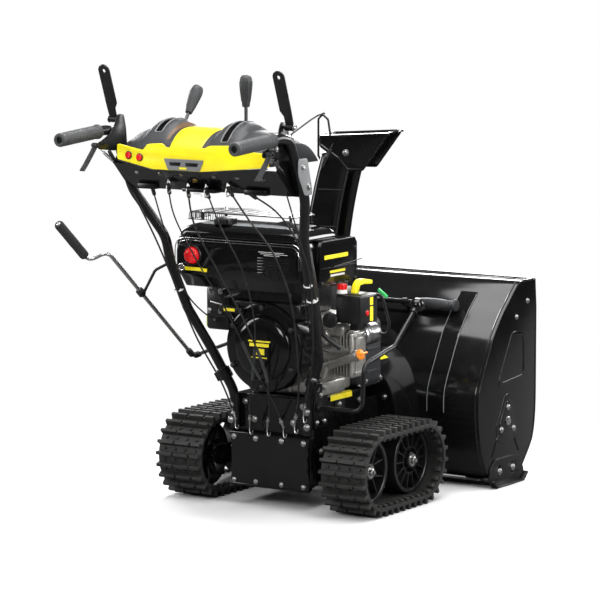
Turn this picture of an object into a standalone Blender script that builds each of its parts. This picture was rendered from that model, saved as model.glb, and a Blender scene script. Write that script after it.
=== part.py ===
"""Two stage snowblower on rubber tracks, modelled as separate named solids.

Frame: +X is the machine's right, +Y is forward (the auger end), +Z is up.
The origin is on the ground, on the centre plane, midway between the grip ends and the auger mouth.
All lengths are in metres.
"""
import math

import bmesh
import bpy
import numpy as np
from mathutils import Matrix, Vector

# ---------------------------------------------------------------- driving dimensions
GAP = 0.0003                # clearance between pieces that touch on the real machine
STEEL = 0.0025              # sheet steel of the auger housing and the case

HOUSING_HALF = 0.3555       # outer face of the auger housing's side plates
HOUSING_TOP = 0.545
MOUTH_FRONT = 0.66746       # foremost point of the side plates
AUGER_Y, AUGER_Z = 0.509, 0.172
AUGER_R = 0.145
IMPELLER_Z = 0.200
DRUM_R = 0.172
DRUM_BACK = 0.225
SHAFT_R = 0.0125
BORE_R = SHAFT_R + 0.0005

CHUTE_X, CHUTE_Y = -0.105, 0.305
CHUTE_NECK_R = 0.070
CHUTE_RING_Z = 0.4215
CHUTE_HEADING = math.radians(75)      # swung to the right of straight ahead
CHUTE_HALF = 0.064
DEFLECTOR_U, DEFLECTOR_Z = 0.084, 0.900

TRACK_IN, TRACK_OUT = 0.187, 0.322
WHEEL_Z = 0.1125
DRIVE_Y, IDLER_Y = 0.141, -0.067
BELT_INNER_R = 0.0895
BELT_THICK = 0.009
LUG_HEIGHT = 0.014
LUGS = 36
WHEEL_R = BELT_INNER_R - 0.0022
WHEEL_IN, WHEEL_OUT = 0.225, 0.275
AXLE_R = 0.0095

CASE_HALF = 0.118
CASE_REAR, CASE_FRONT = -0.098, 0.165
CASE_LOW, CASE_TOP = 0.060, 0.290

TUBE_R = 0.0127
GRIP_R = 0.0172
CRANK_Z = 0.425             # height of the engine's crankshaft

LEVER_PIVOT = (-0.429, 1.022)         # clutch paddles, in the YZ plane
TRIGGER_PIVOT = (-0.513, 0.9615)
PADDLE_LEAN = math.radians(20)
DASH_REAR, DASH_FRONT = -0.4605, -0.250
DASH_HALF = 0.232
DASH_SHEET_HALF = 0.2465
HUMPS = (-0.130, 0.080)               # the two raised lever gates, across the dash
FASCIA_REAR, FASCIA_FRONT = -0.4695, -0.4635
HEAT_BUTTONS = (("heat_button_left", -0.1916, 0.937), ("heat_button_right", -0.158, 0.933))

CRANK_DIRECTION = Vector((0, -0.769, 0.640)).normalized()
CRANK_JOINT = Vector((-0.270, -0.077, 0.372))
CRANK_EYE = CRANK_JOINT + CRANK_DIRECTION * 0.3055
CRANK_ROD_R = 0.0050
CRANK_ARM = Vector((-0.0446, -0.0200, -0.0241))
WORM_END = Vector((-0.1965, 0.290, 0.4315))

COWL_REAR, COWL_FRONT = -0.2185, -0.1465
FILLER_END = Vector((0.2310, -0.0520, 0.4115))
FILLER_WAY = Vector((0.131, -0.005, 0.0505)).normalized()
LEVER_X, LEVER_Y, LEVER_Z = 0.264, -0.088, 0.270    # pivot of the track height lever

UP = Vector((0, 0, 1))

# ---------------------------------------------------------------- scene helpers
for old in list(bpy.data.objects):
    bpy.data.objects.remove(old)

PARTS = bpy.data.collections.new("tracked_snowblower")
TOOLS = bpy.data.collections.new("cutters")
bpy.context.scene.collection.children.link(PARTS)
bpy.context.scene.collection.children.link(TOOLS)


def material(name, colour, roughness, metallic=0.0):
    made = bpy.data.materials.new(name)
    made.use_nodes = True
    shader = made.node_tree.nodes["Principled BSDF"]
    shader.inputs["Base Color"].default_value = (*colour, 1.0)
    shader.inputs["Roughness"].default_value = roughness
    shader.inputs["Metallic"].default_value = metallic
    return made


BLACK_PAINT = material("black_paint", (0.012, 0.012, 0.013), 0.25)
BLACK_PLASTIC = material("black_plastic", (0.02, 0.02, 0.021), 0.35)
CHARCOAL = material("charcoal_plastic", (0.075, 0.077, 0.08), 0.55)
YELLOW = material("yellow_plastic", (0.85, 0.72, 0.03), 0.4)
RED = material("red_plastic", (0.75, 0.02, 0.02), 0.35)
ORANGE = material("orange_plastic", (0.9, 0.35, 0.02), 0.45)
GRIP_RUBBER = material("grip_rubber", (0.11, 0.11, 0.112), 0.7)
TRACK_RUBBER = material("track_rubber", (0.045, 0.043, 0.04), 0.85)
ALUMINIUM = material("cast_aluminium", (0.62, 0.61, 0.58), 0.45, 0.9)
STEEL_GREY = material("bright_steel", (0.6, 0.6, 0.61), 0.3, 1.0)


def add(name, mesh_or_curve, collection=PARTS):
    made = bpy.data.objects.new(name, mesh_or_curve)
    collection.objects.link(made)
    return made


def mesh_object(name, bm):
    mesh = bpy.data.meshes.new(name)
    bm.to_mesh(mesh)
    bm.free()
    return add(name, mesh)


def place(made, matrix):
    """Move the object by the matrix, from where it is now."""
    made.matrix_basis = matrix @ made.matrix_basis
    return made


def aim(direction):
    """Rotation that turns local +Z to the direction."""
    return Vector(direction).to_track_quat("Z", "Y").to_matrix().to_4x4()


def box(name, low, high, bevel=0.0, segments=1):
    low, high = Vector(low), Vector(high)
    bm = bmesh.new()
    bmesh.ops.create_cube(bm, size=1.0)
    size = high - low
    bmesh.ops.scale(bm, vec=size, verts=bm.verts)
    made = mesh_object(name, bm)
    made.location = (low + high) / 2
    if bevel:
        rounding = made.modifiers.new("rounded_edges", "BEVEL")
        rounding.width = bevel
        rounding.segments = segments
        rounding.limit_method = "ANGLE"
    return made


def cylinder(name, start, end, radius, end_radius=None, segments=16):
    start, end = Vector(start), Vector(end)
    bm = bmesh.new()
    bmesh.ops.create_cone(
        bm, cap_ends=True, segments=segments, radius1=radius,
        radius2=radius if end_radius is None else end_radius, depth=(end - start).length,
    )
    made = mesh_object(name, bm)
    return place(made, Matrix.Translation((start + end) / 2) @ aim(end - start))


def turned(name, profile, foot, direction, steps=18, ring=False):
    """A turned solid: profile points are (radius, height) and run down the outer side."""
    mesh = bpy.data.meshes.new(name)
    points = [(radius, 0.0, height) for radius, height in profile]
    edges = [(i, i + 1) for i in range(len(points) - 1)]
    if ring:
        edges.append((len(points) - 1, 0))
    mesh.from_pydata(points, edges, [])
    made = add(name, mesh)
    screw = made.modifiers.new("turned", "SCREW")
    screw.steps = screw.render_steps = steps
    screw.use_merge_vertices = True
    screw.merge_threshold = 0.00001
    screw.use_smooth_shade = False
    return place(made, Matrix.Translation(Vector(foot)) @ aim(direction))


def tube_piece(name, start, end, outer, inner, steps=16):
    length = (Vector(end) - Vector(start)).length
    profile = [(inner, length), (outer, length), (outer, 0.0), (inner, 0.0)]
    return turned(name, profile, start, Vector(end) - Vector(start), steps, ring=True)


PLANES = {
    "YZ": Matrix(((0, 0, 1), (1, 0, 0), (0, 1, 0))).to_4x4(),
    "XZ": Matrix(((1, 0, 0), (0, 0, -1), (0, 1, 0))).to_4x4(),
    "XY": Matrix.Identity(4),
}


def plate(name, outlines, thickness, plane, centre):
    """A flat piece cut from sheet. outlines is one loop, or a loop and its holes."""
    if isinstance(outlines[0][0], (int, float)):
        outlines = [outlines]
    curve = bpy.data.curves.new(name, "CURVE")
    curve.dimensions = "2D"
    curve.fill_mode = "BOTH"
    curve.extrude = thickness / 2
    for loop in outlines:
        spline = curve.splines.new("POLY")
        spline.points.add(len(loop) - 1)
        for point, (a, b) in zip(spline.points, loop):
            point.co = (a, b, 0.0, 1.0)
        spline.use_cyclic_u = True
    made = add(name, curve)
    return solid(place(made, Matrix.Translation(Vector(centre)) @ PLANES[plane]))


def bent_path(points, bend, steps=3):
    """The points with each inner corner rounded to about the bend radius."""
    points = [Vector(p) for p in points]
    path = [points[0]]
    for before, corner, after in zip(points, points[1:], points[2:]):
        room = min((before - corner).length, (after - corner).length) * 0.49
        turn = (corner - before).angle(after - corner)
        reach = min(room, bend * math.tan(turn / 2))
        first = corner + (before - corner).normalized() * reach
        last = corner + (after - corner).normalized() * reach
        for i in range(steps + 1):
            t = i / steps
            path.append(first * (1 - t) ** 2 + corner * 2 * t * (1 - t) + last * t ** 2)
    path.append(points[-1])
    return path


def bar(name, path, radius, resolution=2):
    curve = bpy.data.curves.new(name, "CURVE")
    curve.dimensions = "3D"
    curve.bevel_depth = radius
    curve.bevel_resolution = resolution
    curve.use_fill_caps = True
    spline = curve.splines.new("POLY")
    spline.points.add(len(path) - 1)
    for point, place in zip(spline.points, path):
        point.co = (*place, 1.0)
    return solid(add(name, curve))


def solid(curve_object):
    """The curve object as a welded mesh object, in the same place."""
    bpy.context.view_layer.update()
    evaluated = curve_object.evaluated_get(bpy.context.evaluated_depsgraph_get())
    mesh = bpy.data.meshes.new_from_object(evaluated)
    bm = bmesh.new()
    bm.from_mesh(mesh)
    bmesh.ops.remove_doubles(bm, verts=bm.verts, dist=0.00001)
    bmesh.ops.recalc_face_normals(bm, faces=bm.faces)
    bm.to_mesh(mesh)
    bm.free()
    made = add(curve_object.name + "_mesh", mesh)
    made.matrix_basis = curve_object.matrix_basis.copy()
    name = curve_object.name
    bpy.data.objects.remove(curve_object)
    made.name = name
    return made


def combine(base, tools, operation):
    for tool in tools:
        step = base.modifiers.new(tool.name, "BOOLEAN")
        step.operation = operation
        step.solver = "EXACT"
        step.object = tool
        tool.hide_render = True
        tool.display_type = "WIRE"
        PARTS.objects.unlink(tool)
        TOOLS.objects.link(tool)
    return base


def join(base, *tools):
    return combine(base, tools, "UNION")


def cut(base, *tools):
    return combine(base, tools, "DIFFERENCE")


def paint(made, finish, smooth=30):
    made.data.materials.append(finish)
    made.data.shade_smooth()
    made.data.set_sharp_from_angle(angle=math.radians(smooth))
    return made


def hang(pivot_name, place, *pieces):
    """An empty on a joint's axis, with the pieces that turn or slide there as its children."""
    pivot = add(pivot_name, None)
    pivot.location = place
    bpy.context.view_layer.update()
    for piece in pieces:
        piece.parent = pivot
        piece.matrix_parent_inverse = pivot.matrix_world.inverted()


def arc(centre, radius, start, end, steps):
    """Points of an arc, angles in degrees."""
    angles = np.radians(np.linspace(start, end, steps + 1))
    return [(centre[0] + radius * math.cos(a), centre[1] + radius * math.sin(a)) for a in angles]


SIDES = (("left", -1), ("right", 1))


# ---------------------------------------------------------------- frame and controls
def transmission_case():
    wall = STEEL
    low, high = (-CASE_HALF, CASE_REAR, CASE_LOW), (CASE_HALF, CASE_FRONT, CASE_TOP)
    case = box("transmission_case", low, high, 0.003)
    cheek_reach = DRUM_BACK - 0.0005
    tools = []
    for side, s in SIDES:
        inner, outer = sorted((s * (CASE_HALF - wall), s * CASE_HALF))
        tools.append(box("cheek_" + side, (inner, 0.150, 0.075), (outer, cheek_reach, 0.262)))
        tools.append(cylinder("boss_" + side, (s * (CASE_HALF - 0.001), DRIVE_Y, WHEEL_Z),
                              (s * (TRACK_IN - 0.0005), DRIVE_Y, WHEEL_Z), 0.022))
    join(case, *tools)
    hollow = box("case_hollow", (-CASE_HALF + wall, CASE_REAR + wall, CASE_LOW + wall),
                 (CASE_HALF - wall, CASE_FRONT - wall, CASE_TOP - wall))
    hole_r = AXLE_R + 0.0008
    axle_hole = cylinder("axle_hole", (-0.2, DRIVE_Y, WHEEL_Z), (0.2, DRIVE_Y, WHEEL_Z), hole_r)
    cut(case, hollow, axle_hole)
    paint(case, BLACK_PAINT)


def rear_cover():
    cover = box("rear_cover", (-0.120, -0.1225, 0.052), (0.120, CASE_REAR - 0.0005, 0.190), 0.003)
    cut(cover, box("cover_hollow", (-0.1175, -0.1200, 0.0545), (0.1175, -0.08, 0.1875)))
    paint(cover, BLACK_PAINT)


def tube_path(s):
    """Centre line of one handlebar tube, from the case up to the end of the grip."""
    corners = [
        (0.113, -0.111, 0.200), (0.113, -0.111, 0.292), (0.1635, -0.137, 0.400),
        (0.196, -0.2075, 0.521), (0.211, -0.262, 0.645), (0.212, -0.283, 0.715),
        (0.262, -0.3555, 0.839), (0.264, -0.428, 0.990), (0.263, -0.470, 0.9975),
        (0.2605, -0.6635, 0.9845),
    ]
    return bent_path([(s * x, y, z) for x, y, z in corners], 0.12)


def lever_pin(name, s, pivot, end_x, radius):
    """A short pin along X, from the bracket's inner face out to end_x."""
    return cylinder(name, (s * 0.2470, *pivot), (s * end_x, *pivot), radius, None, 12)


def handle_tube(side, s):
    tube = bar("handle_tube_" + side, tube_path(s), TUBE_R, 2)
    bracket_outline = [
        (-0.400, 0.950), (-0.405, 1.000), (-0.415, 1.032), (-0.442, 1.034), (-0.450, 1.012),
        (-0.472, 0.990), (-0.498, 0.9740), (-0.522, 0.9720), (-0.524, 0.953), (-0.455, 0.945),
    ]
    bracket = plate("lever_bracket_" + side, bracket_outline, 0.0075, "YZ", (s * 0.24925, 0, 0))
    paddle_pin = lever_pin("lever_pin_" + side, s, LEVER_PIVOT, 0.2815, 0.004)
    trigger_pin = lever_pin("trigger_pin_" + side, s, TRIGGER_PIVOT, 0.2740, 0.0035)
    clamp_low, clamp_high = (s * 0.1310, -0.1203, 0.3305), (s * 0.1440, -0.1270, 0.3585)
    collar = tube_piece("tube_clamp_" + side, clamp_low, clamp_high, 0.0185, 0.0110)
    join(tube, bracket, paddle_pin, trigger_pin, collar)
    if side == "left":
        reach = CRANK_DIRECTION * 0.008
        bore = CRANK_ROD_R + 0.0008
        eyelet = tube_piece("crank_eyelet", CRANK_EYE - reach, CRANK_EYE + reach, 0.0105, bore, 20)
        stay_start = CRANK_EYE + Vector((0.0085, 0.004, 0.003))
        stay_path = bent_path([stay_start, (-0.240, -0.290, 0.625), (-0.211, -0.262, 0.645)], 0.02)
        join(tube, eyelet, bar("eyelet_stay", stay_path, 0.004, 2))
    paint(tube, BLACK_PAINT)


def grip(side, s):
    front = Vector((s * 0.2630, -0.470, 0.9975))
    rear = Vector((s * 0.2605, -0.6635, 0.9845))
    along = (rear - front).normalized()
    start = front + along * 0.033
    length = (rear + along * 0.003 - start).length
    bore = TUBE_R + 0.0003
    profile = [
        (0.0, length), (GRIP_R - 0.003, length), (GRIP_R, length - 0.003), (GRIP_R, 0.006),
        (GRIP_R + 0.0015, 0.004), (GRIP_R + 0.0015, 0.0), (bore, 0.0), (bore, length - 0.0025),
        (0.0, length - 0.0025),
    ]
    paint(turned("grip_" + side, profile, start, along, 18), GRIP_RUBBER)


def pivot_bore(name, s, pivot, radius):
    """Cutter for a lever's bore along X."""
    return cylinder(name + "_bore", (s * 0.24, *pivot), (s * 0.29, *pivot), radius, None, 14)


def paddle(name, s):
    """Flat clutch lever: a bored barrel with a steel blade that leans back."""
    barrel = cylinder(name, (s * 0.2545, *LEVER_PIVOT), (s * 0.2785, *LEVER_PIVOT), 0.008, None, 14)
    length, half = 0.150, 0.017
    outline = [(-0.012, 0.0), (0.012, 0.0), (0.012, 0.030), (half - 0.004, 0.040)]
    outline += arc((-0.004, length - half), half, 0, 180, 6)
    outline += [(-half - 0.004, 0.040), (-0.012, 0.030)]
    hole = arc((-0.004, length - half), 0.004, 0, 315, 7)
    loops = [[(s * a, b) for a, b in loop] for loop in (outline, hole)]
    blade = plate(name + "_blade", loops, 0.004, "XZ", (s * 0.2665, 0, 0))
    place(blade, Matrix.Translation((0, *LEVER_PIVOT)) @ Matrix.Rotation(PADDLE_LEAN, 4, "X"))
    join(barrel, blade)
    cut(barrel, pivot_bore(name, s, LEVER_PIVOT, 0.0045))
    paint(barrel, BLACK_PAINT)
    hang(name + "_pivot", (0, *LEVER_PIVOT), barrel)


def trigger(side, s):
    name = "trigger_" + side
    barrel = cylinder(name, (s * 0.2545, *TRIGGER_PIVOT), (s * 0.2705, *TRIGGER_PIVOT), 0.0065, None, 14)
    finger = box(name + "_finger", (-0.008, -0.0025, -0.086), (0.008, 0.0025, 0.0), 0.002)
    swing = Matrix.Rotation(math.radians(-43), 4, "X")
    place(finger, Matrix.Translation((s * 0.2625, *TRIGGER_PIVOT)) @ swing)
    join(barrel, finger)
    cut(barrel, pivot_bore(name, s, TRIGGER_PIVOT, 0.0040))
    paint(barrel, CHARCOAL)
    hang(name + "_pivot", (0, *TRIGGER_PIVOT), barrel)


def dash_panel():
    """Bent sheet between the tubes: a slanted rear face, a floor and two cheeks."""
    slope = [(-0.3925, 0.852), (-0.4585, 0.9165), (-0.4606, 0.9144), (-0.3938, 0.849), (-0.3925, 0.849)]
    cheek = [(-0.4580, 0.9160), (-0.440, 0.940), (-0.344, 0.938), (-0.318, 0.840), (-0.3925, 0.8495)]
    rear = plate("dash_panel", slope, 2 * DASH_SHEET_HALF, "YZ", (0, 0, 0))
    tools = [box("dash_floor", (-0.244, -0.3935, 0.849), (0.244, -0.320, 0.852))]
    for side, s in SIDES:
        centre = (s * (DASH_SHEET_HALF - 0.0015), 0, 0)
        tools.append(plate("dash_cheek_" + side, cheek, 0.0030, "YZ", centre))
    join(rear, *tools)
    paint(rear, BLACK_PAINT)


def dash_height(x, y):
    """Top of the dash: a crown that falls to the sides, with two raised lever gates."""
    t = (y - DASH_REAR) / (DASH_FRONT - DASH_REAR)
    crown = 0.957 + 0.048 * (1 - abs(2 * t - 1) ** 2.6)
    fall = 0.028 * max(0.0, (abs(x) - 0.150) / 0.082) ** 2
    raised = 0.0
    for centre in HUMPS:
        across = max(0.0, 1 - (abs(x - centre) / 0.040) ** 4)
        along = max(0.0, math.sin(math.pi * min(1.0, max(0.0, (t - 0.04) / 0.92))))
        raised = max(raised, 0.020 * across * along)
    return crown - fall + raised


def dash_cover():
    """Moulded top with a slot for each lever, as a shell with a turned-down skirt."""
    bm = bmesh.new()
    columns, rows = 20, 8
    bmesh.ops.create_grid(bm, x_segments=columns, y_segments=rows, size=1.0)
    for vert in bm.verts:
        skirt = max(abs(vert.co.x), abs(vert.co.y)) > 0.999
        u = max(-1.0, min(1.0, vert.co.x * columns / (columns - 2)))
        v = max(-1.0, min(1.0, vert.co.y * rows / (rows - 2)))
        x = DASH_HALF * u
        y = (DASH_REAR + DASH_FRONT) / 2 + v * (DASH_FRONT - DASH_REAR) / 2
        z = 0.926 if skirt else dash_height(x, y)
        vert.co = Vector((x, y, z))
    cover = mesh_object("dash_cover", bm)
    wall = cover.modifiers.new("wall", "SOLIDIFY")
    wall.thickness = 0.003
    wall.offset = -1.0
    slots = [box("slot_left", (-0.138, -0.425, 0.90), (-0.122, -0.290, 1.10)),
             box("slot_right", (0.072, -0.440, 0.90), (0.088, -0.330, 1.10))]
    cut(cover, *slots)
    paint(cover, CHARCOAL, 40)


def dash_fascia():
    outline = [
        (-0.228, 0.926), (-0.120, 0.905), (0.030, 0.905), (0.228, 0.924), (0.228, 0.958), (0.150, 0.962),
        (0.125, 0.974), (0.052, 0.971), (0.040, 0.964), (-0.080, 0.961), (-0.089, 0.971), (-0.134, 0.968),
        (-0.149, 0.951), (-0.228, 0.965),
    ]
    thickness = FASCIA_FRONT - FASCIA_REAR
    strip = plate("dash_fascia", outline, thickness, "XZ", (0, (FASCIA_REAR + FASCIA_FRONT) / 2, 0))
    for name, x, z in HEAT_BUTTONS:
        cut(strip, cylinder(name + "_hole", (x, -0.48, z), (x, -0.455, z), 0.0083))
    paint(strip, YELLOW)
    for name, x, z in HEAT_BUTTONS:
        profile = [(0.0, 0.0110), (0.0060, 0.0105), (0.0078, 0.0085), (0.0078, 0.0), (0.0, 0.0)]
        button = paint(turned(name, profile, (x, -0.4645, z), (0, -1, 0), 12), RED)
        hang(name + "_slide", (x, -0.4645, z), button)


def gate_lever(name, x, pivot_y, pivot_z, lean, length):
    """A dash lever: pivot barrel, steel shaft and a ribbed club knob."""
    barrel = cylinder(name, (x - 0.010, pivot_y, pivot_z), (x + 0.010, pivot_y, pivot_z), 0.009, None, 14)
    tip = Vector((0, math.sin(lean), math.cos(lean)))
    pivot = Vector((x, pivot_y, pivot_z))
    knob_foot = length - 0.080
    shaft = cylinder(name + "_shaft", pivot, pivot + tip * (knob_foot + 0.010), 0.005, None, 12)
    profile = [
        (0.0, 0.080), (0.010, 0.079), (0.0150, 0.074), (0.0160, 0.062), (0.0135, 0.035),
        (0.0100, 0.008), (0.0095, 0.0), (0.0, 0.0),
    ]
    knob = turned(name + "_knob", profile, pivot + tip * knob_foot, tip, 12)
    join(barrel, shaft, knob)
    paint(barrel, CHARCOAL)
    hang(name + "_pivot", pivot, barrel)


# ---------------------------------------------------------------- chute crank
def crank_rod():
    start = CRANK_JOINT + CRANK_DIRECTION * 0.012
    elbow = CRANK_JOINT + CRANK_DIRECTION * 0.492
    arm_end = elbow + CRANK_ARM
    grip_start = arm_end + CRANK_DIRECTION * 0.022
    grip_end = grip_start + CRANK_DIRECTION * 0.145
    corners = [start, elbow, arm_end, grip_start + CRANK_DIRECTION * 0.02]
    rod = bar("crank_rod", bent_path(corners, 0.016), CRANK_ROD_R)
    profile = [(0.0, 0.145), (0.0100, 0.144), (0.0125, 0.139), (0.0125, 0.004), (0.0110, 0.0), (0.0, 0.0)]
    join(rod, turned("crank_grip", profile, grip_start, grip_end - grip_start, 14))
    paint(rod, STEEL_GREY)
    hang("crank_axis", CRANK_JOINT, rod)


def worm_shaft():
    along = (WORM_END - CRANK_JOINT).normalized()
    start = CRANK_JOINT + along * 0.012
    shaft = bar("worm_shaft", [start, WORM_END], 0.005)
    profile = [(0.0, 0.050)]
    for i in range(4):
        top = 0.050 - 0.0115 * i
        profile += [(0.0085, top), (0.0120, top - 0.0025), (0.0120, top - 0.0045), (0.0085, top - 0.007)]
    profile.append((0.0, 0.003))
    join(shaft, turned("worm", profile, WORM_END - along * 0.045, along, 12))
    paint(shaft, BLACK_PAINT)
    hang("worm_axis", CRANK_JOINT, shaft)


# ---------------------------------------------------------------- engine
def crankcase():
    """Engine block with its finned cylinder on the right and the oil filler tube behind the fins."""
    block = box("crankcase", (-0.105, -0.070, 0.2935), (0.110, 0.110, 0.500), 0.012)
    barrel_start, barrel_end = (0.100, -0.002, 0.405), (0.190, -0.002, 0.405)
    tools = [cylinder("cylinder_barrel", barrel_start, barrel_end, 0.034)]
    for i in range(5):
        x = 0.122 + 0.0145 * i
        tools.append(box("fin_%d" % i, (x, -0.034, 0.345), (x + 0.006, 0.035, 0.467)))
    tools.append(box("cylinder_head", (0.1865, -0.034, 0.345), (0.203, 0.034, 0.465), 0.006))
    tools.append(cylinder("filler_tube", (0.100, -0.047, 0.361), FILLER_END, 0.011))
    join(block, *tools)
    cut(block, cylinder("crank_bore", (0, -0.1, CRANK_Z), (0, 0.2, CRANK_Z), BORE_R))
    paint(block, ALUMINIUM)


def crankshaft():
    profile = [
        (0.0, 0.360), (0.0120, 0.360), (SHAFT_R, 0.358), (SHAFT_R, 0.352), (0.036, 0.352),
        (0.037, 0.348), (0.029, 0.339), (0.037, 0.330), (0.036, 0.326), (SHAFT_R, 0.326),
        (SHAFT_R, 0.030), (0.085, 0.028), (0.085, 0.006), (0.020, 0.004), (0.0, 0.004),
    ]
    shaft = paint(turned("crankshaft", profile, (0, -0.148, CRANK_Z), (0, 1, 0), 18), STEEL_GREY)
    hang("crankshaft_axis", (0, 0, CRANK_Z), shaft)


def fan_shroud():
    profile = [
        (0.060, 0.0785), (0.108, 0.0785), (0.118, 0.070), (0.118, 0.0), (0.115, 0.0),
        (0.115, 0.069), (0.107, 0.0755), (0.060, 0.0755),
    ]
    shroud = turned("fan_shroud", profile, (0, -0.0715, CRANK_Z), (0, -1, 0), 28, ring=True)
    paint(shroud, BLACK_PAINT)
    dome = [
        (0.0, 0.0172), (0.030, 0.0172), (0.070, 0.0150), (0.084, 0.009), (0.086, 0.0),
        (0.083, 0.0), (0.081, 0.0075), (0.068, 0.012), (0.0, 0.014),
    ]
    paint(turned("recoil_cover", dome, (0, -0.1503, CRANK_Z), (0, -1, 0), 20), BLACK_PLASTIC)


def recoil_handle():
    y, z = -0.172, 0.5215
    handle = cylinder("recoil_handle", (-0.119, y, z), (-0.047, y, z), 0.0095, None, 14)
    join(handle, cylinder("handle_stem", (-0.083, y, z), (-0.083, y + 0.018, z), 0.006, 0.0045, 16))
    paint(handle, BLACK_PLASTIC)
    hang("recoil_slide", (-0.083, y, z), handle)


def engine_cowl():
    cowl = box("engine_cowl", (-0.230, COWL_REAR, 0.575), (0.165, COWL_FRONT, 0.7085), 0.020, 4)
    hollow_low, hollow_high = (-0.227, COWL_REAR + 0.003, 0.55), (0.162, COWL_FRONT + 0.05, 0.7055)
    cut(cowl, box("cowl_hollow", hollow_low, hollow_high, 0.018, 3),
        cylinder("primer_hole", (-0.172, -0.24, 0.661), (-0.172, -0.20, 0.661), 0.0240),
        cylinder("key_hole", (-0.202, -0.24, 0.629), (-0.202, -0.20, 0.629), 0.0050, None, 12))
    paint(cowl, BLACK_PLASTIC)


def primer_bulb():
    profile = [
        (0.0, 0.028), (0.010, 0.027), (0.0180, 0.023), (0.0220, 0.016), (0.0230, 0.009),
        (0.0230, 0.0), (0.0, 0.0),
    ]
    bulb = paint(turned("primer_bulb", profile, (-0.172, -0.2115, 0.661), (0, -1, 0), 16), RED, 60)
    hang("primer_slide", (-0.172, -0.2115, 0.661), bulb)


def ignition_key():
    stem = cylinder("ignition_key", (-0.202, -0.2060, 0.629), (-0.202, -0.2250, 0.629), 0.0042, None, 12)
    join(stem, box("key_bow", (-0.212, -0.2290, 0.619), (-0.192, -0.2240, 0.640), 0.002))
    paint(stem, STEEL_GREY)
    hang("key_slide", (-0.202, -0.2060, 0.629), stem)


def fuel_tank():
    tank = box("fuel_tank", (-0.222, -0.2185, 0.7095), (0.158, -0.025, 0.742), 0.013, 3)
    paint(tank, BLACK_PLASTIC)
    profile = [(0.0, 0.0175), (0.024, 0.0175), (0.0295, 0.0135), (0.030, 0.0), (0.0, 0.0)]
    cap = paint(turned("fuel_cap", profile, (-0.100, -0.172, 0.7425), UP, 18), BLACK_PLASTIC)
    hang("cap_axis", (-0.100, -0.172, 0.7425), cap)


def top_guard():
    outline = [
        (-0.240, -0.138), (0.085, -0.138), (0.085, -0.030), (0.050, 0.0), (-0.190, 0.0), (-0.240, -0.035),
    ]
    guard = plate("top_guard", outline, 0.003, "XY", (0, 0, 0.7635))
    feet = ((-0.205, -0.125), (0.070, -0.125), (-0.195, -0.042), (0.070, -0.042))
    legs = [cylinder("guard_leg_%d" % i, (x, y, 0.7425), (x, y, 0.764), 0.004, None, 12)
            for i, (x, y) in enumerate(feet)]
    join(guard, *legs)
    paint(guard, CHARCOAL)


def muffler():
    can = box("muffler", (0.092, -0.130, 0.600), (0.163, 0.020, 0.700), 0.026, 3)
    join(can, cylinder("exhaust_pipe", (0.150, 0.0, 0.4695), (0.150, 0.0, 0.610), 0.012))
    paint(can, STEEL_GREY)
    guard = box("muffler_guard", (0.080, -0.1450, 0.590), (0.172, 0.0316, 0.7085), 0.008)
    cut(guard, box("guard_hollow", (0.082, -0.1430, 0.55), (0.170, 0.0296, 0.7065), 0.007))
    paint(guard, BLACK_PAINT)


def starter_box():
    case = box("starter_box", (0.172, -0.072, 0.493), (0.250, 0.011, 0.567), 0.006)
    cut(case, cylinder("button_pocket", (0.2425, -0.043, 0.521), (0.27, -0.043, 0.521), 0.0070, None, 14))
    paint(case, BLACK_PLASTIC)
    profile = [(0.0, 0.0075), (0.0055, 0.0075), (0.0065, 0.0065), (0.0065, 0.0), (0.0, 0.0)]
    button = paint(turned("starter_button", profile, (0.2460, -0.043, 0.521), (1, 0, 0), 12), RED)
    hang("starter_slide", (0.2460, -0.043, 0.521), button)


def starter_motor():
    profile = [
        (0.0, 0.080), (0.012, 0.080), (0.014, 0.074), (0.026, 0.070), (0.029, 0.064),
        (0.029, 0.012), (0.024, 0.003), (0.0, 0.0),
    ]
    paint(turned("starter_motor", profile, (0.176, 0.038, 0.4475), (0, 1, 0), 16), ALUMINIUM)


def carburettor():
    body = box("carburettor", (-0.200, -0.120, 0.455), (-0.125, 0.000, 0.570), 0.010)
    join(body, cylinder("intake_throat", (-0.130, -0.030, 0.470), (-0.1055, -0.030, 0.470), 0.020))
    paint(body, BLACK_PLASTIC)


def oil_dipstick():
    foot = FILLER_END + FILLER_WAY * 0.0008
    profile = [(0.0, 0.020), (0.010, 0.020), (0.0140, 0.016), (0.0140, 0.004), (0.0105, 0.0), (0.0, 0.0)]
    cap = paint(turned("oil_dipstick", profile, foot, FILLER_WAY, 14), ORANGE)
    hang("dipstick_axis", foot, cap)


def belt_cover():
    cover = box("belt_cover", (-0.100, 0.1135, 0.2915), (0.140, 0.2215, 0.478), 0.022, 3)
    cut(cover, box("cover_space", (-0.097, 0.1165, 0.25), (0.137, 0.2185, 0.475), 0.019, 3),
        cylinder("cover_hole", (0, 0.10, CRANK_Z), (0, 0.13, CRANK_Z), 0.020))
    paint(cover, CHARCOAL)


# ---------------------------------------------------------------- auger housing and chute
def back_profile():
    """Section of the housing's rolled back, from the front of the top sheet down to the scraper."""
    return [
        (0.6550, HOUSING_TOP - 0.001), (0.5775, HOUSING_TOP), (0.5150, 0.493), (0.4565, 0.438),
        (0.4200, 0.387), (0.3905, 0.334), (0.3670, 0.291), (0.3545, 0.256), (0.3530, 0.215),
        (0.3565, 0.173), (0.3655, 0.128), (0.3785, 0.087), (0.4085, 0.040), (0.4635, 0.013),
    ]


def side_outline():
    front = [
        (0.5400, 0.013), (0.5825, 0.026), (0.6245, 0.070), (0.6590, 0.129), (MOUTH_FRONT, 0.213),
        (0.6665, 0.468), (0.6600, 0.5440),
    ]
    return front + back_profile()[1:]


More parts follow.
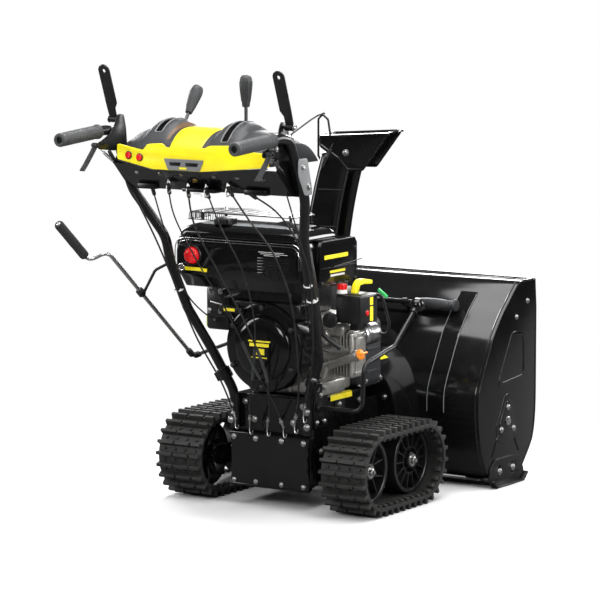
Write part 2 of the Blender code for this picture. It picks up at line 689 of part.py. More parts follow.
def offset_profile(profile, depth):
    """The profile moved into the housing by the depth."""
    moved = []
    for i, (y, z) in enumerate(profile):
        before, after = profile[max(0, i - 1)], profile[min(len(profile) - 1, i + 1)]
        run = Vector((after[0] - before[0], after[1] - before[1])).normalized()
        moved.append((y - run.y * depth, z + run.x * depth))
    return moved


def chute_pipe(name, low, high, radius, segments):
    """An upright cylinder on the chute's axis."""
    return cylinder(name, (CHUTE_X, CHUTE_Y, low), (CHUTE_X, CHUTE_Y, high), radius, None, segments)


def drum_pipe(name, rear, front, radius, segments=16):
    """A cylinder on the impeller's axis."""
    return cylinder(name, (0, rear, IMPELLER_Z), (0, front, IMPELLER_Z), radius, None, segments)


def auger_housing():
    profile = back_profile()
    inner = offset_profile(profile, STEEL)
    mouth = offset_profile(profile, STEEL + GAP) + [(0.700, 0.020), (0.700, 0.540)]
    mouth_space = plate("mouth_space", mouth, 2 * HOUSING_HALF - 0.0064, "YZ", (0, 0, 0))
    sheet = plate("auger_housing", profile + inner[::-1], 2 * HOUSING_HALF - 0.004, "YZ", (0, 0, 0))
    tools = [
        drum_pipe("drum", DRUM_BACK, 0.400, DRUM_R, 28),
        chute_pipe("chute_neck", 0.250, 0.4205, CHUTE_NECK_R, 28),
        chute_pipe("neck_flange", 0.4155, 0.4210, CHUTE_NECK_R + 0.007, 28),
    ]
    for side, s in SIDES:
        centre = (s * (HOUSING_HALF - 0.0015), 0, 0)
        tools.append(plate("side_plate_" + side, side_outline(), 0.003, "YZ", centre))
    join(sheet, *tools)
    cut(sheet, mouth_space,
        drum_pipe("drum_space", DRUM_BACK + STEEL, 0.430, DRUM_R - STEEL, 36),
        chute_pipe("neck_space", 0.245, 0.450, CHUTE_NECK_R - STEEL, 36),
        drum_pipe("shaft_hole", 0.20, 0.25, BORE_R + 0.0005))
    paint(sheet, BLACK_PAINT)


def scraper_bar():
    bar_piece = box("scraper_bar", (-0.352, 0.4450, 0.0020), (0.352, 0.5000, 0.0100), 0.0015, 1)
    paint(bar_piece, BLACK_PAINT)


def skid(side, s):
    outline = [(0.405, 0.020), (0.425, 0.0), (0.575, 0.0), (0.600, 0.020), (0.585, 0.055), (0.560, 0.075),
               (0.440, 0.075), (0.415, 0.055)]
    shoe = plate("skid_" + side, outline, 0.004, "YZ", (s * (HOUSING_HALF + 0.0028), 0, 0))
    low, high = sorted((s * (HOUSING_HALF + 0.002), s * 0.3760))
    join(shoe, box("runner_" + side, (low, 0.425, 0.0), (high, 0.575, 0.005)))
    paint(shoe, BLACK_PAINT)


def auger_line(name, start, end, radius, segments=16):
    """A cylinder on the augers' axis."""
    return cylinder(name, (start, AUGER_Y, AUGER_Z), (end, AUGER_Y, AUGER_Z), radius, None, segments)


def auger_gearbox():
    body = auger_line("auger_gearbox", -0.036, 0.036, 0.045, 32)
    join(body, drum_pipe("gearbox_neck", 0.400, AUGER_Y, 0.025))
    cut(body, auger_line("auger_bore", -0.1, 0.1, BORE_R), drum_pipe("impeller_bore", 0.39, 0.468, BORE_R))
    paint(body, ALUMINIUM)


def flight(name, s, start, end, inner, outer, thickness, phase):
    """A helical ribbon about the auger shaft, one turn long, closed with a wall of its own."""
    steps = 24
    bm = bmesh.new()
    rings = []
    for i in range(steps + 1):
        angle = phase + 2 * math.pi * i / steps
        x = start + (end - start) * i / steps
        ring = []
        for radius, shift in ((inner, -0.5), (outer, -0.5), (outer, 0.5), (inner, 0.5)):
            y = AUGER_Y + radius * math.cos(angle)
            z = AUGER_Z + radius * math.sin(angle)
            ring.append(bm.verts.new((s * (x + shift * thickness), y, z)))
        rings.append(ring)
    for first, second in zip(rings, rings[1:]):
        for k in range(4):
            bm.faces.new((first[k], first[(k + 1) % 4], second[(k + 1) % 4], second[k]))
    bm.faces.new(rings[0][::-1])
    bm.faces.new(rings[-1])
    bmesh.ops.recalc_face_normals(bm, faces=bm.faces)
    return mesh_object(name, bm)


def auger(side, s):
    name = "auger_" + side
    core = auger_line(name, s * 0.040, s * 0.340, 0.0180, 14)
    tools = [flight(name + "_ribbon", s, 0.052, 0.330, 0.095, AUGER_R, 0.004, math.radians(20))]
    for turn in (0.06, 0.5, 0.94):
        angle = math.radians(20) + 2 * math.pi * turn
        x = s * (0.052 + 0.278 * turn)
        tip = Vector((x, AUGER_Y + 0.105 * math.cos(angle), AUGER_Z + 0.105 * math.sin(angle)))
        spoke = name + "_spoke_%d" % (turn * 100)
        tools.append(cylinder(spoke, (x, AUGER_Y, AUGER_Z), tip, 0.008, None, 12))
    join(core, *tools)
    cut(core, auger_line(name + "_bore", s * 0.03, s * 0.35, SHAFT_R + 0.0003))
    paint(core, BLACK_PAINT)
    return core


def augers():
    shaft = auger_line("auger_shaft", -0.3515, 0.3515, SHAFT_R)
    paint(shaft, STEEL_GREY)
    hang("auger_axis", (0, AUGER_Y, AUGER_Z), shaft, *[auger(side, s) for side, s in SIDES])


def impeller():
    profile = [
        (0.0, 0.293), (0.0120, 0.293), (SHAFT_R, 0.291), (SHAFT_R, 0.032), (0.079, 0.032), (0.080, 0.028),
        (0.070, 0.020), (0.080, 0.012), (0.079, 0.008), (SHAFT_R, 0.008), (SHAFT_R, 0.0), (0.0, 0.0),
    ]
    shaft = paint(turned("impeller_shaft", profile, (0, 0.172, IMPELLER_Z), (0, 1, 0), 18), STEEL_GREY)
    hub = drum_pipe("impeller", 0.250, 0.345, 0.028)
    blades = []
    for i in range(4):
        blade = box("blade_%d" % i, (-0.0025, -0.047, 0.022), (0.0025, 0.047, 0.160))
        spin = Matrix.Rotation(math.radians(45 + 90 * i), 4, "Y")
        blades.append(place(blade, Matrix.Translation((0, 0.298, IMPELLER_Z)) @ spin))
    join(hub, *blades)
    cut(hub, drum_pipe("hub_bore", 0.24, 0.36, SHAFT_R + 0.0003))
    paint(hub, BLACK_PAINT)
    hang("impeller_axis", (0, 0, IMPELLER_Z), shaft, hub)


def chute_frame():
    """Local chute axes: +X is the way the snow leaves, +Z is up."""
    return Matrix.Translation((CHUTE_X, CHUTE_Y, 0)) @ Matrix.Rotation(math.pi / 2 - CHUTE_HEADING, 4, "Z")


def chute_lean(z):
    return 0.36 * max(0.0, z - 0.50) ** 2


def chute():
    """A channel open towards the discharge side, swept up from a round base flange."""
    half, deep, corner = CHUTE_HALF - 0.001, 0.045, 0.018
    section = [(deep, -half)]
    section += [(-deep + corner - corner * math.sin(a), -half + corner - corner * math.cos(a))
                for a in np.linspace(0, math.pi / 2, 4)]
    section += [(x, -y) for x, y in section[::-1]]
    heights = [0.4245, 0.52, 0.62, 0.71, 0.79, 0.85, 0.895]
    bm = bmesh.new()
    rows = [[bm.verts.new((chute_lean(z) + x, y, z)) for x, y in section] for z in heights]
    for low, high in zip(rows, rows[1:]):
        for i in range(len(section) - 1):
            bm.faces.new((low[i], low[i + 1], high[i + 1], high[i]))
    channel = mesh_object("chute", bm)
    place(channel, chute_frame())
    wall = channel.modifiers.new("wall", "SOLIDIFY")
    wall.thickness = 0.002
    wall.offset = 0.0
    base = Vector((CHUTE_X, CHUTE_Y, CHUTE_RING_Z))
    flange = tube_piece("chute_flange", base, base + UP * 0.006, 0.079, 0.060, 28)
    front = box("chute_front", (0.0440, -0.064, 0.4240), (0.0460, 0.064, 0.560))
    join(channel, flange, place(front, chute_frame()))
    paint(channel, BLACK_PLASTIC)
    return channel


def deflector():
    """Hood over the top of the chute: a roof and two side walls that straddle the channel."""
    side = [
        (0.010, 0.915), (0.010, 0.945), (0.205, 0.956), (0.198, 0.944), (0.132, 0.852),
        (0.088, 0.852), (0.060, 0.880),
    ]
    half = CHUTE_HALF + 0.0030
    rotation = chute_frame()
    roof_outline = [(0.010, 0.9430), (0.010, 0.9450), (0.205, 0.9560), (0.203, 0.9540)]
    upright = Matrix(((1, 0, 0), (0, 0, -1), (0, 1, 0))).to_4x4()
    roof = plate("deflector", roof_outline, 2 * half, "XY", (0, 0, 0))
    place(roof, rotation @ upright)
    walls = []
    for name, s in SIDES:
        wall = plate("deflector_wall_" + name, side, 0.002, "XY", (0, 0, 0))
        walls.append(place(wall, rotation @ Matrix.Translation((0, s * (half - 0.001), 0)) @ upright))
    join(roof, *walls)
    paint(roof, BLACK_PLASTIC)
    return roof


def chute_assembly():
    hang("chute_axis", (CHUTE_X, CHUTE_Y, CHUTE_RING_Z), chute())
    hang("deflector_axis", chute_frame() @ Vector((DEFLECTOR_U, 0, DEFLECTOR_Z)), deflector())


# ---------------------------------------------------------------- tracks
def loop_point(distance, radius):
    """A point of the track's loop: two half circles joined by straight runs, in the YZ plane."""
    straight = DRIVE_Y - IDLER_Y
    half_turn = math.pi * radius
    distance %= 2 * (straight + half_turn)
    if distance < straight:
        return (IDLER_Y + distance, WHEEL_Z - radius)
    distance -= straight
    if distance < half_turn:
        angle = distance / radius - math.pi / 2
        return (DRIVE_Y + radius * math.cos(angle), WHEEL_Z + radius * math.sin(angle))
    distance -= half_turn
    if distance < straight:
        return (DRIVE_Y - distance, WHEEL_Z + radius)
    angle = (distance - straight) / radius + math.pi / 2
    return (IDLER_Y + radius * math.cos(angle), WHEEL_Z + radius * math.sin(angle))


def loop_length(radius):
    return 2 * (DRIVE_Y - IDLER_Y) + 2 * math.pi * radius


def track_belt(side, s):
    base_r = BELT_INNER_R + BELT_THICK
    tip_r = base_r + LUG_HEIGHT
    outer = []
    for i in range(LUGS):
        for share, radius in ((0.0, base_r), (0.16, tip_r), (0.50, tip_r), (0.66, base_r)):
            outer.append(loop_point(loop_length(radius) * (i + share) / LUGS, radius))
    inner = [loop_point(loop_length(BELT_INNER_R) * i / 32, BELT_INNER_R) for i in range(32)]
    middle = s * (TRACK_IN + TRACK_OUT) / 2
    belt = plate("track_belt_" + side, [outer, inner], TRACK_OUT - TRACK_IN, "YZ", (middle, 0, 0))
    return paint(belt, TRACK_RUBBER)


def track_wheel(name, s, y, windows, axle_start):
    """A wheel with a bored hub, a web and a rim, turned about the X direction."""
    wide = WHEEL_OUT - WHEEL_IN
    bore = AXLE_R + 0.0008
    profile = [
        (bore, wide), (0.020, wide), (0.024, wide * 0.62), (0.074, wide * 0.62), (0.078, wide),
        (WHEEL_R, wide), (WHEEL_R, 0.0), (0.078, 0.0), (0.074, wide * 0.38), (0.024, wide * 0.38),
        (0.020, 0.0), (bore, 0.0),
    ]
    if axle_start is not None:
        profile = [(0.0, wide)] + profile[1:-1] + [(0.0, 0.0)]
    wheel = turned(name, profile, (s * WHEEL_IN, y, WHEEL_Z), (s, 0, 0), 22, ring=axle_start is None)
    cutters = []
    for i in range(windows):
        window = [(0.034, 0.0)] + arc((0, 0), 0.066, -22, 22, 3)
        tool = plate("%s_window_%d" % (name, i), window, 0.08, "YZ", (0, 0, 0))
        spin = Matrix.Rotation(2 * math.pi * i / windows, 4, "X")
        cutters.append(place(tool, Matrix.Translation((s * 0.25, y, WHEEL_Z)) @ spin))
    if axle_start is not None:
        start, end = (s * axle_start, y, WHEEL_Z), (s * 0.282, y, WHEEL_Z)
        join(wheel, cylinder(name + "_axle", start, end, AXLE_R))
    cut(wheel, *cutters)
    return paint(wheel, BLACK_PLASTIC)


def track_frame(side, s):
    """Side bar between the two axles, with the idler's stub axle fixed to it."""
    half = 0.026
    outline = arc((IDLER_Y, WHEEL_Z), half, 90, 270, 8) + arc((DRIVE_Y, WHEEL_Z), half, -90, 90, 8)
    hole = arc((DRIVE_Y, WHEEL_Z), AXLE_R + 0.0012, 0, 345, 23)
    side_bar = plate("track_frame_" + side, [outline, hole], 0.008, "YZ", (s * (TRACK_IN + 0.0065), 0, 0))
    start, end = (s * 0.192, IDLER_Y, WHEEL_Z), (s * 0.281, IDLER_Y, WHEEL_Z)
    join(side_bar, cylinder("idler_stub_" + side, start, end, AXLE_R))
    return paint(side_bar, BLACK_PAINT)


def tracks():
    for side, s in SIDES:
        drive = track_wheel("drive_wheel_" + side, s, DRIVE_Y, 0, 0.004)
        hang("drive_axis_" + side, (s * 0.25, DRIVE_Y, WHEEL_Z), drive)
        hang("tilt_axis_" + side, (s * 0.25, DRIVE_Y, WHEEL_Z), track_belt(side, s), track_frame(side, s))
        idler = track_wheel("idler_wheel_" + side, s, IDLER_Y, 5, None)
        hang("idler_axis_" + side, (s * 0.25, IDLER_Y, WHEEL_Z), idler)


def height_lever():
    """Bent rod with a ball knob; it stands up from a pivot on the case and reaches forward."""
    steps = [(0.0, 0.0), (0.008, 0.122), (0.157, 0.152), (0.270, 0.245)]
    corners = [(0.1215, LEVER_Y, LEVER_Z)] + [(LEVER_X, LEVER_Y + y, LEVER_Z + z) for y, z in steps]
    lever = bar("height_lever", bent_path(corners, 0.02), 0.0060)
    bm = bmesh.new()
    bmesh.ops.create_uvsphere(bm, u_segments=16, v_segments=10, radius=0.0195)
    ball = mesh_object("height_lever_ball", bm)
    ball.location = (LEVER_X, LEVER_Y + 0.272, LEVER_Z + 0.247)
    join(lever, ball)
    paint(lever, BLACK_PAINT)
    hang("height_lever_axis", (LEVER_X, LEVER_Y, LEVER_Z), lever)


def clean_out_tool():
    """A hand tool kept along the back of the housing: blade, shaft and a bellied grip."""
    y, z = 0.463, 0.482
    shaft = cylinder("clean_out_tool", (-0.150, y, z), (0.100, y, z), 0.0065, None, 12)
    profile = [
        (0.0, 0.135), (0.0165, 0.135), (0.0165, 0.128), (0.0115, 0.126), (0.0115, 0.112),
        (0.0130, 0.110), (0.0130, 0.100), (0.0155, 0.060), (0.0130, 0.020), (0.0095, 0.0), (0.0, 0.0),
    ]
    handle = turned("tool_grip", profile, (0.088, y, z), (1, 0, 0), 14)
    blade = box("tool_blade", (-0.215, y - 0.013, z - 0.016), (-0.145, y + 0.010, z + 0.016), 0.003)
    join(shaft, handle, blade)
    paint(shaft, BLACK_PLASTIC)
    hang("tool_slide", (0, y, z), shaft)


def build():
    transmission_case()
    rear_cover()
    for side, s in SIDES:
        handle_tube(side, s)
        grip(side, s)
        trigger(side, s)
        skid(side, s)
    paddle("auger_paddle", 1)
    paddle("drive_paddle", -1)
    dash_panel()
    dash_cover()
    dash_fascia()
    gate_lever("deflector_lever", HUMPS[0], -0.372, 0.925, math.radians(35), 0.215)
    gate_lever("speed_lever", HUMPS[1], -0.345, 0.925, 0.0, 0.216)
    crank_rod()
    worm_shaft()
    for make in (crankcase, crankshaft, fan_shroud, recoil_handle, engine_cowl, primer_bulb,
                 ignition_key, fuel_tank, top_guard, muffler, starter_box, starter_motor,
                 carburettor, oil_dipstick, belt_cover):
        make()
    for make in (auger_housing, scraper_bar, auger_gearbox, augers, impeller, chute_assembly):
        make()
    tracks()
    height_lever()
    clean_out_tool()


build()
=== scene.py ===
"""Looks for a tracked two stage snowblower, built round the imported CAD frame.

Row frame: +X is the machine's right, +Y forward, +Z up, in metres.
"""
import math

import bmesh
import bpy
import numpy as np
from mathutils import Matrix, Vector


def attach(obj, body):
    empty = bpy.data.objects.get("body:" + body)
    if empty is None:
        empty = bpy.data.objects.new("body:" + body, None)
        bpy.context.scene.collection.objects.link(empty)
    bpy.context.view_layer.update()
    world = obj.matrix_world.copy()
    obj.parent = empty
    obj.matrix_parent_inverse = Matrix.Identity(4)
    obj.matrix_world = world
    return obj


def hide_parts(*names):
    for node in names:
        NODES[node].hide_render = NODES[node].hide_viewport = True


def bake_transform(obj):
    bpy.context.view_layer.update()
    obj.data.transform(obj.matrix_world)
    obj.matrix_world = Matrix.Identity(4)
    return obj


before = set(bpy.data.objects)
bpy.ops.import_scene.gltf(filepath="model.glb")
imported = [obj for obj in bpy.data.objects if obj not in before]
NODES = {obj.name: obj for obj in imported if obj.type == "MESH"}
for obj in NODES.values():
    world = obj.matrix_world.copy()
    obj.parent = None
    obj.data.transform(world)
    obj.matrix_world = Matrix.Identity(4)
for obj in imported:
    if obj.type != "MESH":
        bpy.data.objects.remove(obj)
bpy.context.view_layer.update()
UP, RIGHT, LEFT = Vector((0, 0, 1)), Vector((1, 0, 0)), Vector((-1, 0, 0))
FORWARD, BACKWARD = Vector((0, 1, 0)), Vector((0, -1, 0))
SIDES = (("left", -1), ("right", 1))

for datablock in list(bpy.data.lights):
    bpy.data.lights.remove(datablock)


# ---------------------------------------------------------------- materials
class Finish:
    """A procedural material: colour mottle, roughness variation, bump, edge wear and dust on top faces."""

    def __init__(self, name, colour, roughness, metallic=0.0):
        self.material = bpy.data.materials.new(name)
        self.material.use_nodes = True
        self.tree = self.material.node_tree
        self.shader = self.tree.nodes["Principled BSDF"]
        self.shader.inputs["Metallic"].default_value = metallic
        self.colour = self.tree.nodes.new("ShaderNodeRGB")
        self.colour.outputs[0].default_value = (*colour, 1.0)
        self.colour_out = self.colour.outputs[0]
        self.roughness = roughness
        self.height = None
        self.place = self.node("ShaderNodeTexCoord").outputs["Object"]
        self.rough_out = None

    def node(self, kind, **values):
        made = self.tree.nodes.new(kind)
        for key, value in values.items():
            setattr(made, key, value)
        return made

    def link(self, source, target):
        self.tree.links.new(source, target)

    def noise(self, scale, detail=4.0, stretch=(1, 1, 1)):
        mapping = self.node("ShaderNodeMapping")
        mapping.inputs["Scale"].default_value = stretch
        self.link(self.place, mapping.inputs["Vector"])
        texture = self.node("ShaderNodeTexNoise")
        texture.inputs["Scale"].default_value = scale
        texture.inputs["Detail"].default_value = detail
        self.link(mapping.outputs[0], texture.inputs["Vector"])
        return texture.outputs["Fac"]

    def span(self, value, low, high, out_low=0.0, out_high=1.0):
        made = self.node("ShaderNodeMapRange")
        self.link(value, made.inputs["Value"])
        for key, number in (("From Min", low), ("From Max", high), ("To Min", out_low),
                            ("To Max", out_high)):
            made.inputs[key].default_value = number
        return made.outputs[0]

    def maths(self, operation, a, b):
        made = self.node("ShaderNodeMath", operation=operation)
        for socket, value in zip(made.inputs, (a, b)):
            if isinstance(value, (int, float)):
                socket.default_value = value
            else:
                self.link(value, socket)
        return made.outputs[0]

    def blend(self, share, colour):
        mix = self.node("ShaderNodeMix", data_type="RGBA")
        self.link(share, mix.inputs["Factor"])
        self.link(self.colour_out, mix.inputs["A"])
        mix.inputs["B"].default_value = (*colour, 1.0)
        self.colour_out = mix.outputs["Result"]
        return self

    def mottle(self, colour, scale=30.0, amount=0.5):
        return self.blend(self.span(self.noise(scale), 0.35, 0.7, 0.0, amount), colour)

    def raise_bump(self, value, strength, distance=0.001):
        bump = self.node("ShaderNodeBump")
        bump.inputs["Strength"].default_value = strength
        bump.inputs["Distance"].default_value = distance
        self.link(value, bump.inputs["Height"])
        if self.height is not None:
            self.link(self.height, bump.inputs["Normal"])
        self.height = bump.outputs["Normal"]
        return self

    def grain(self, scale, strength, stretch=(1, 1, 1), distance=0.0006):
        return self.raise_bump(self.noise(scale, 3.0, stretch), strength, distance)

    def leather_grain(self, scale, strength):
        cells = self.node("ShaderNodeTexVoronoi")
        cells.inputs["Scale"].default_value = scale
        self.link(self.place, cells.inputs["Vector"])
        return self.raise_bump(cells.outputs["Distance"], strength, 0.0004)

    def vary(self, scale, amount, stretch=(1, 1, 1)):
        self.rough_out = self.span(self.noise(scale, 5.0, stretch), 0.3, 0.7, self.roughness - amount,
                                   self.roughness + amount)
        return self

    def wear(self, colour, amount=0.6):
        """Lighter, rubbed edges: where the rounded normal differs from the true one."""
        rounded_normal = self.node("ShaderNodeBevel", samples=4)
        rounded_normal.inputs["Radius"].default_value = 0.0014
        dot = self.node("ShaderNodeVectorMath", operation="DOT_PRODUCT")
        self.link(rounded_normal.outputs[0], dot.inputs[0])
        self.link(self.node("ShaderNodeNewGeometry").outputs["Normal"], dot.inputs[1])
        edge = self.span(dot.outputs["Value"], 0.995, 0.9)
        worn = self.maths("MULTIPLY", edge, self.span(self.noise(90.0), 0.4, 0.62))
        return self.blend(self.maths("MULTIPLY", worn, amount), colour)

    def dust(self, colour, amount, scale=14.0):
        facing = self.node("ShaderNodeNewGeometry").outputs["Normal"]
        split = self.node("ShaderNodeSeparateXYZ")
        self.link(facing, split.inputs[0])
        top = self.span(split.outputs["Z"], 0.2, 1.0)
        share = self.maths("MULTIPLY", top, self.span(self.noise(scale, 8.0), 0.35, 0.75, 0.2, 1.0))
        return self.blend(self.maths("MULTIPLY", share, amount), colour)

    def done(self):
        self.link(self.colour_out, self.shader.inputs["Base Color"])
        if self.rough_out is None:
            self.shader.inputs["Roughness"].default_value = self.roughness
        else:
            self.link(self.rough_out, self.shader.inputs["Roughness"])
        if self.height is not None:
            self.link(self.height, self.shader.inputs["Normal"])
        return self.material


def gloss_black(name, roughness=0.13, peel=0.05):
    """Powder coat or lacquer with slight orange peel, faint wear on edges and a little dust."""
    made = Finish(name, (0.003, 0.003, 0.0032), roughness)
    made.mottle((0.006, 0.006, 0.0065), 6.0, 0.7).grain(420.0, peel, distance=0.0004).vary(9.0, 0.05)
    made.wear((0.09, 0.09, 0.095), 0.2).dust((0.07, 0.07, 0.07), 0.015)
    return made.done()


def moulded(name, colour, roughness, grain=0.12, scale=900.0):
    """Injection moulded plastic with a fine spark-eroded grain."""
    light = tuple(min(1.0, 1.35 * c + 0.003) for c in colour)
    made = Finish(name, colour, roughness)
    made.mottle(light, 12.0, 0.5).leather_grain(scale, grain).grain(60.0, 0.02).vary(25.0, 0.06)
    made.wear(tuple(min(1.0, 2.2 * c + 0.02) for c in colour), 0.25)
    return made.done()


def bare_metal(name, colour, roughness, stretch=(1, 1, 1), scale=260.0, bump=0.06):
    """Unpainted metal with fine marks, drawn out along one axis by the stretch."""
    made = Finish(name, colour, roughness, 1.0)
    made.mottle(tuple(0.72 * c for c in colour), 40.0, 0.6).grain(scale, bump, stretch).vary(70.0, 0.09,
        stretch)
    return made.done()


def plated(name, colour, roughness):
    """Zinc or nickel plate with faint clouding."""
    made = Finish(name, colour, roughness, 1.0)
    return made.mottle(tuple(0.86 * c for c in colour), 3.0, 0.5).vary(8.0, 0.05).done()


def cast_metal(name, colour, roughness):
    """Sand-cast aluminium: pitted, uneven and dull."""
    made = Finish(name, colour, roughness, 0.85)
    made.mottle(tuple(0.55 * c for c in colour), 22.0, 0.6).mottle((0.16, 0.15, 0.14), 90.0, 0.25)
    made.leather_grain(700.0, 0.3).grain(160.0, 0.16, distance=0.001).vary(45.0, 0.1)
    return made.done()


def rubber_look(name, colour, roughness, dust, dust_amount):
    """Rubber with a fine skin and dust on its upper faces."""
    made = Finish(name, colour, roughness)
    made.mottle(tuple(1.6 * c for c in colour), 35.0, 0.6).leather_grain(1300.0, 0.2).grain(140.0, 0.14)
    made.vary(30.0, 0.08).wear(tuple(3.0 * c for c in colour), 0.5).dust(dust, dust_amount, 28.0)
    return made.done()


def foam_look(name, colour):
    """Coarse open-cell foam."""
    made = Finish(name, colour, 0.85)
    made.leather_grain(1600.0, 0.22).grain(500.0, 0.1).mottle(tuple(1.8 * c for c in colour), 220.0, 0.4)
    return made.vary(90.0, 0.08).done()


PAINT = gloss_black("powder_coat_black")
SATIN = gloss_black("satin_black_steel", 0.3, 0.09)
LACQUER = gloss_black("lacquered_plastic_black", 0.1, 0.02)
PLASTIC = moulded("plastic_black", (0.006, 0.006, 0.0064), 0.32)
WHEEL_PLASTIC = moulded("wheel_plastic", (0.0075, 0.0075, 0.008), 0.34, 0.08)
CHARCOAL = moulded("plastic_charcoal", (0.022, 0.023, 0.026), 0.48, 0.3, 1100.0)
KNOB = moulded("plastic_knob_grey", (0.026, 0.027, 0.029), 0.46, 0.2, 1300.0)
TRIM = moulded("slot_trim", (0.16, 0.165, 0.17), 0.42, 0.1)
YELLOW = moulded("plastic_yellow", (0.86, 0.7, 0.01), 0.34, 0.05, 700.0)
LABEL = moulded("label_yellow", (0.8, 0.66, 0.02), 0.3, 0.02, 500.0)
LABEL_PALE = moulded("label_pale", (0.62, 0.62, 0.6), 0.35, 0.02, 500.0)
LABEL_GREEN = moulded("label_lime", (0.62, 0.72, 0.08), 0.35, 0.02, 500.0)
RED = moulded("plastic_red", (0.62, 0.008, 0.01), 0.22, 0.03)
ORANGE = moulded("plastic_orange", (0.86, 0.24, 0.01), 0.32, 0.05)
# Painted shade: a brown colour for the strip in the crease between a dash hump and the yellow panel.
PAINTED_SHADE_BROWN = moulded("painted_shade_on_hump", (0.1, 0.05, 0.018), 0.5, 0.1)
WHITE = moulded("white_plastic", (0.66, 0.66, 0.65), 0.45, 0.05)
GREEN = moulded("green_tag", (0.03, 0.42, 0.1), 0.4, 0.05)
GRIP = rubber_look("grip_rubber_grey", (0.036, 0.037, 0.039), 0.58, (0.1, 0.1, 0.1), 0.03)
BOOT = rubber_look("rubber_black", (0.012, 0.012, 0.012), 0.55, (0.1, 0.1, 0.1), 0.03)
TREAD = rubber_look("track_rubber_dusty", (0.013, 0.0125, 0.012), 0.62, (0.06, 0.056, 0.05), 0.14)
CABLE = rubber_look("cable_sheath", (0.01, 0.01, 0.01), 0.38, (0.08, 0.08, 0.08), 0.02)
FOAM = foam_look("foam_black", (0.013, 0.013, 0.013))
ROD = plated("plated_rod", (0.66, 0.66, 0.67), 0.34)
CHROME = bare_metal("chrome_rod", (0.72, 0.72, 0.73), 0.16, (1, 1, 1), 14.0, 0.004)
ZINC = bare_metal("zinc_bolts", (0.6, 0.6, 0.59), 0.3)
STEEL = bare_metal("brushed_steel_shaft", (0.48, 0.48, 0.48), 0.32, (1, 18, 18), 90.0)
BRASS = bare_metal("brass_nut", (0.6, 0.42, 0.16), 0.3)
DARK_STEEL = bare_metal("dark_steel", (0.1, 0.1, 0.105), 0.4)
CASTING = cast_metal("cast_aluminium_rough", (0.55, 0.54, 0.51), 0.42)
# Painted highlight: a light grey gloss that stands in for the glare on the tank's glossy black top.
TANK_TOP_PAINTED_HIGHLIGHT = moulded("painted_highlight_grey_gloss", (0.3, 0.31, 0.32), 0.16, 0.03)


# ---------------------------------------------------------------- mesh building
def placed(name, data):
    """A new object in the scene."""
    made = bpy.data.objects.new(name, data)
    bpy.context.scene.collection.objects.link(made)
    return made


def mesh_from(bm, name):
    """A mesh from the working form, which is then freed."""
    mesh = bpy.data.meshes.new(name)
    bm.to_mesh(mesh)
    bm.free()
    return mesh


def skin(bm, rows, closed=True, caps=True):
    """Quads between neighbouring rows of vertices, with a face over each end when capped."""
    for first, second in zip(rows, rows[1:]):
        count = len(first)
        for k in range(count if closed else count - 1):
            after = (k + 1) % count
            bm.faces.new((first[k], first[after], second[after], second[k]))
    if caps:
        bm.faces.new(rows[0][::-1])
        bm.faces.new(rows[-1])


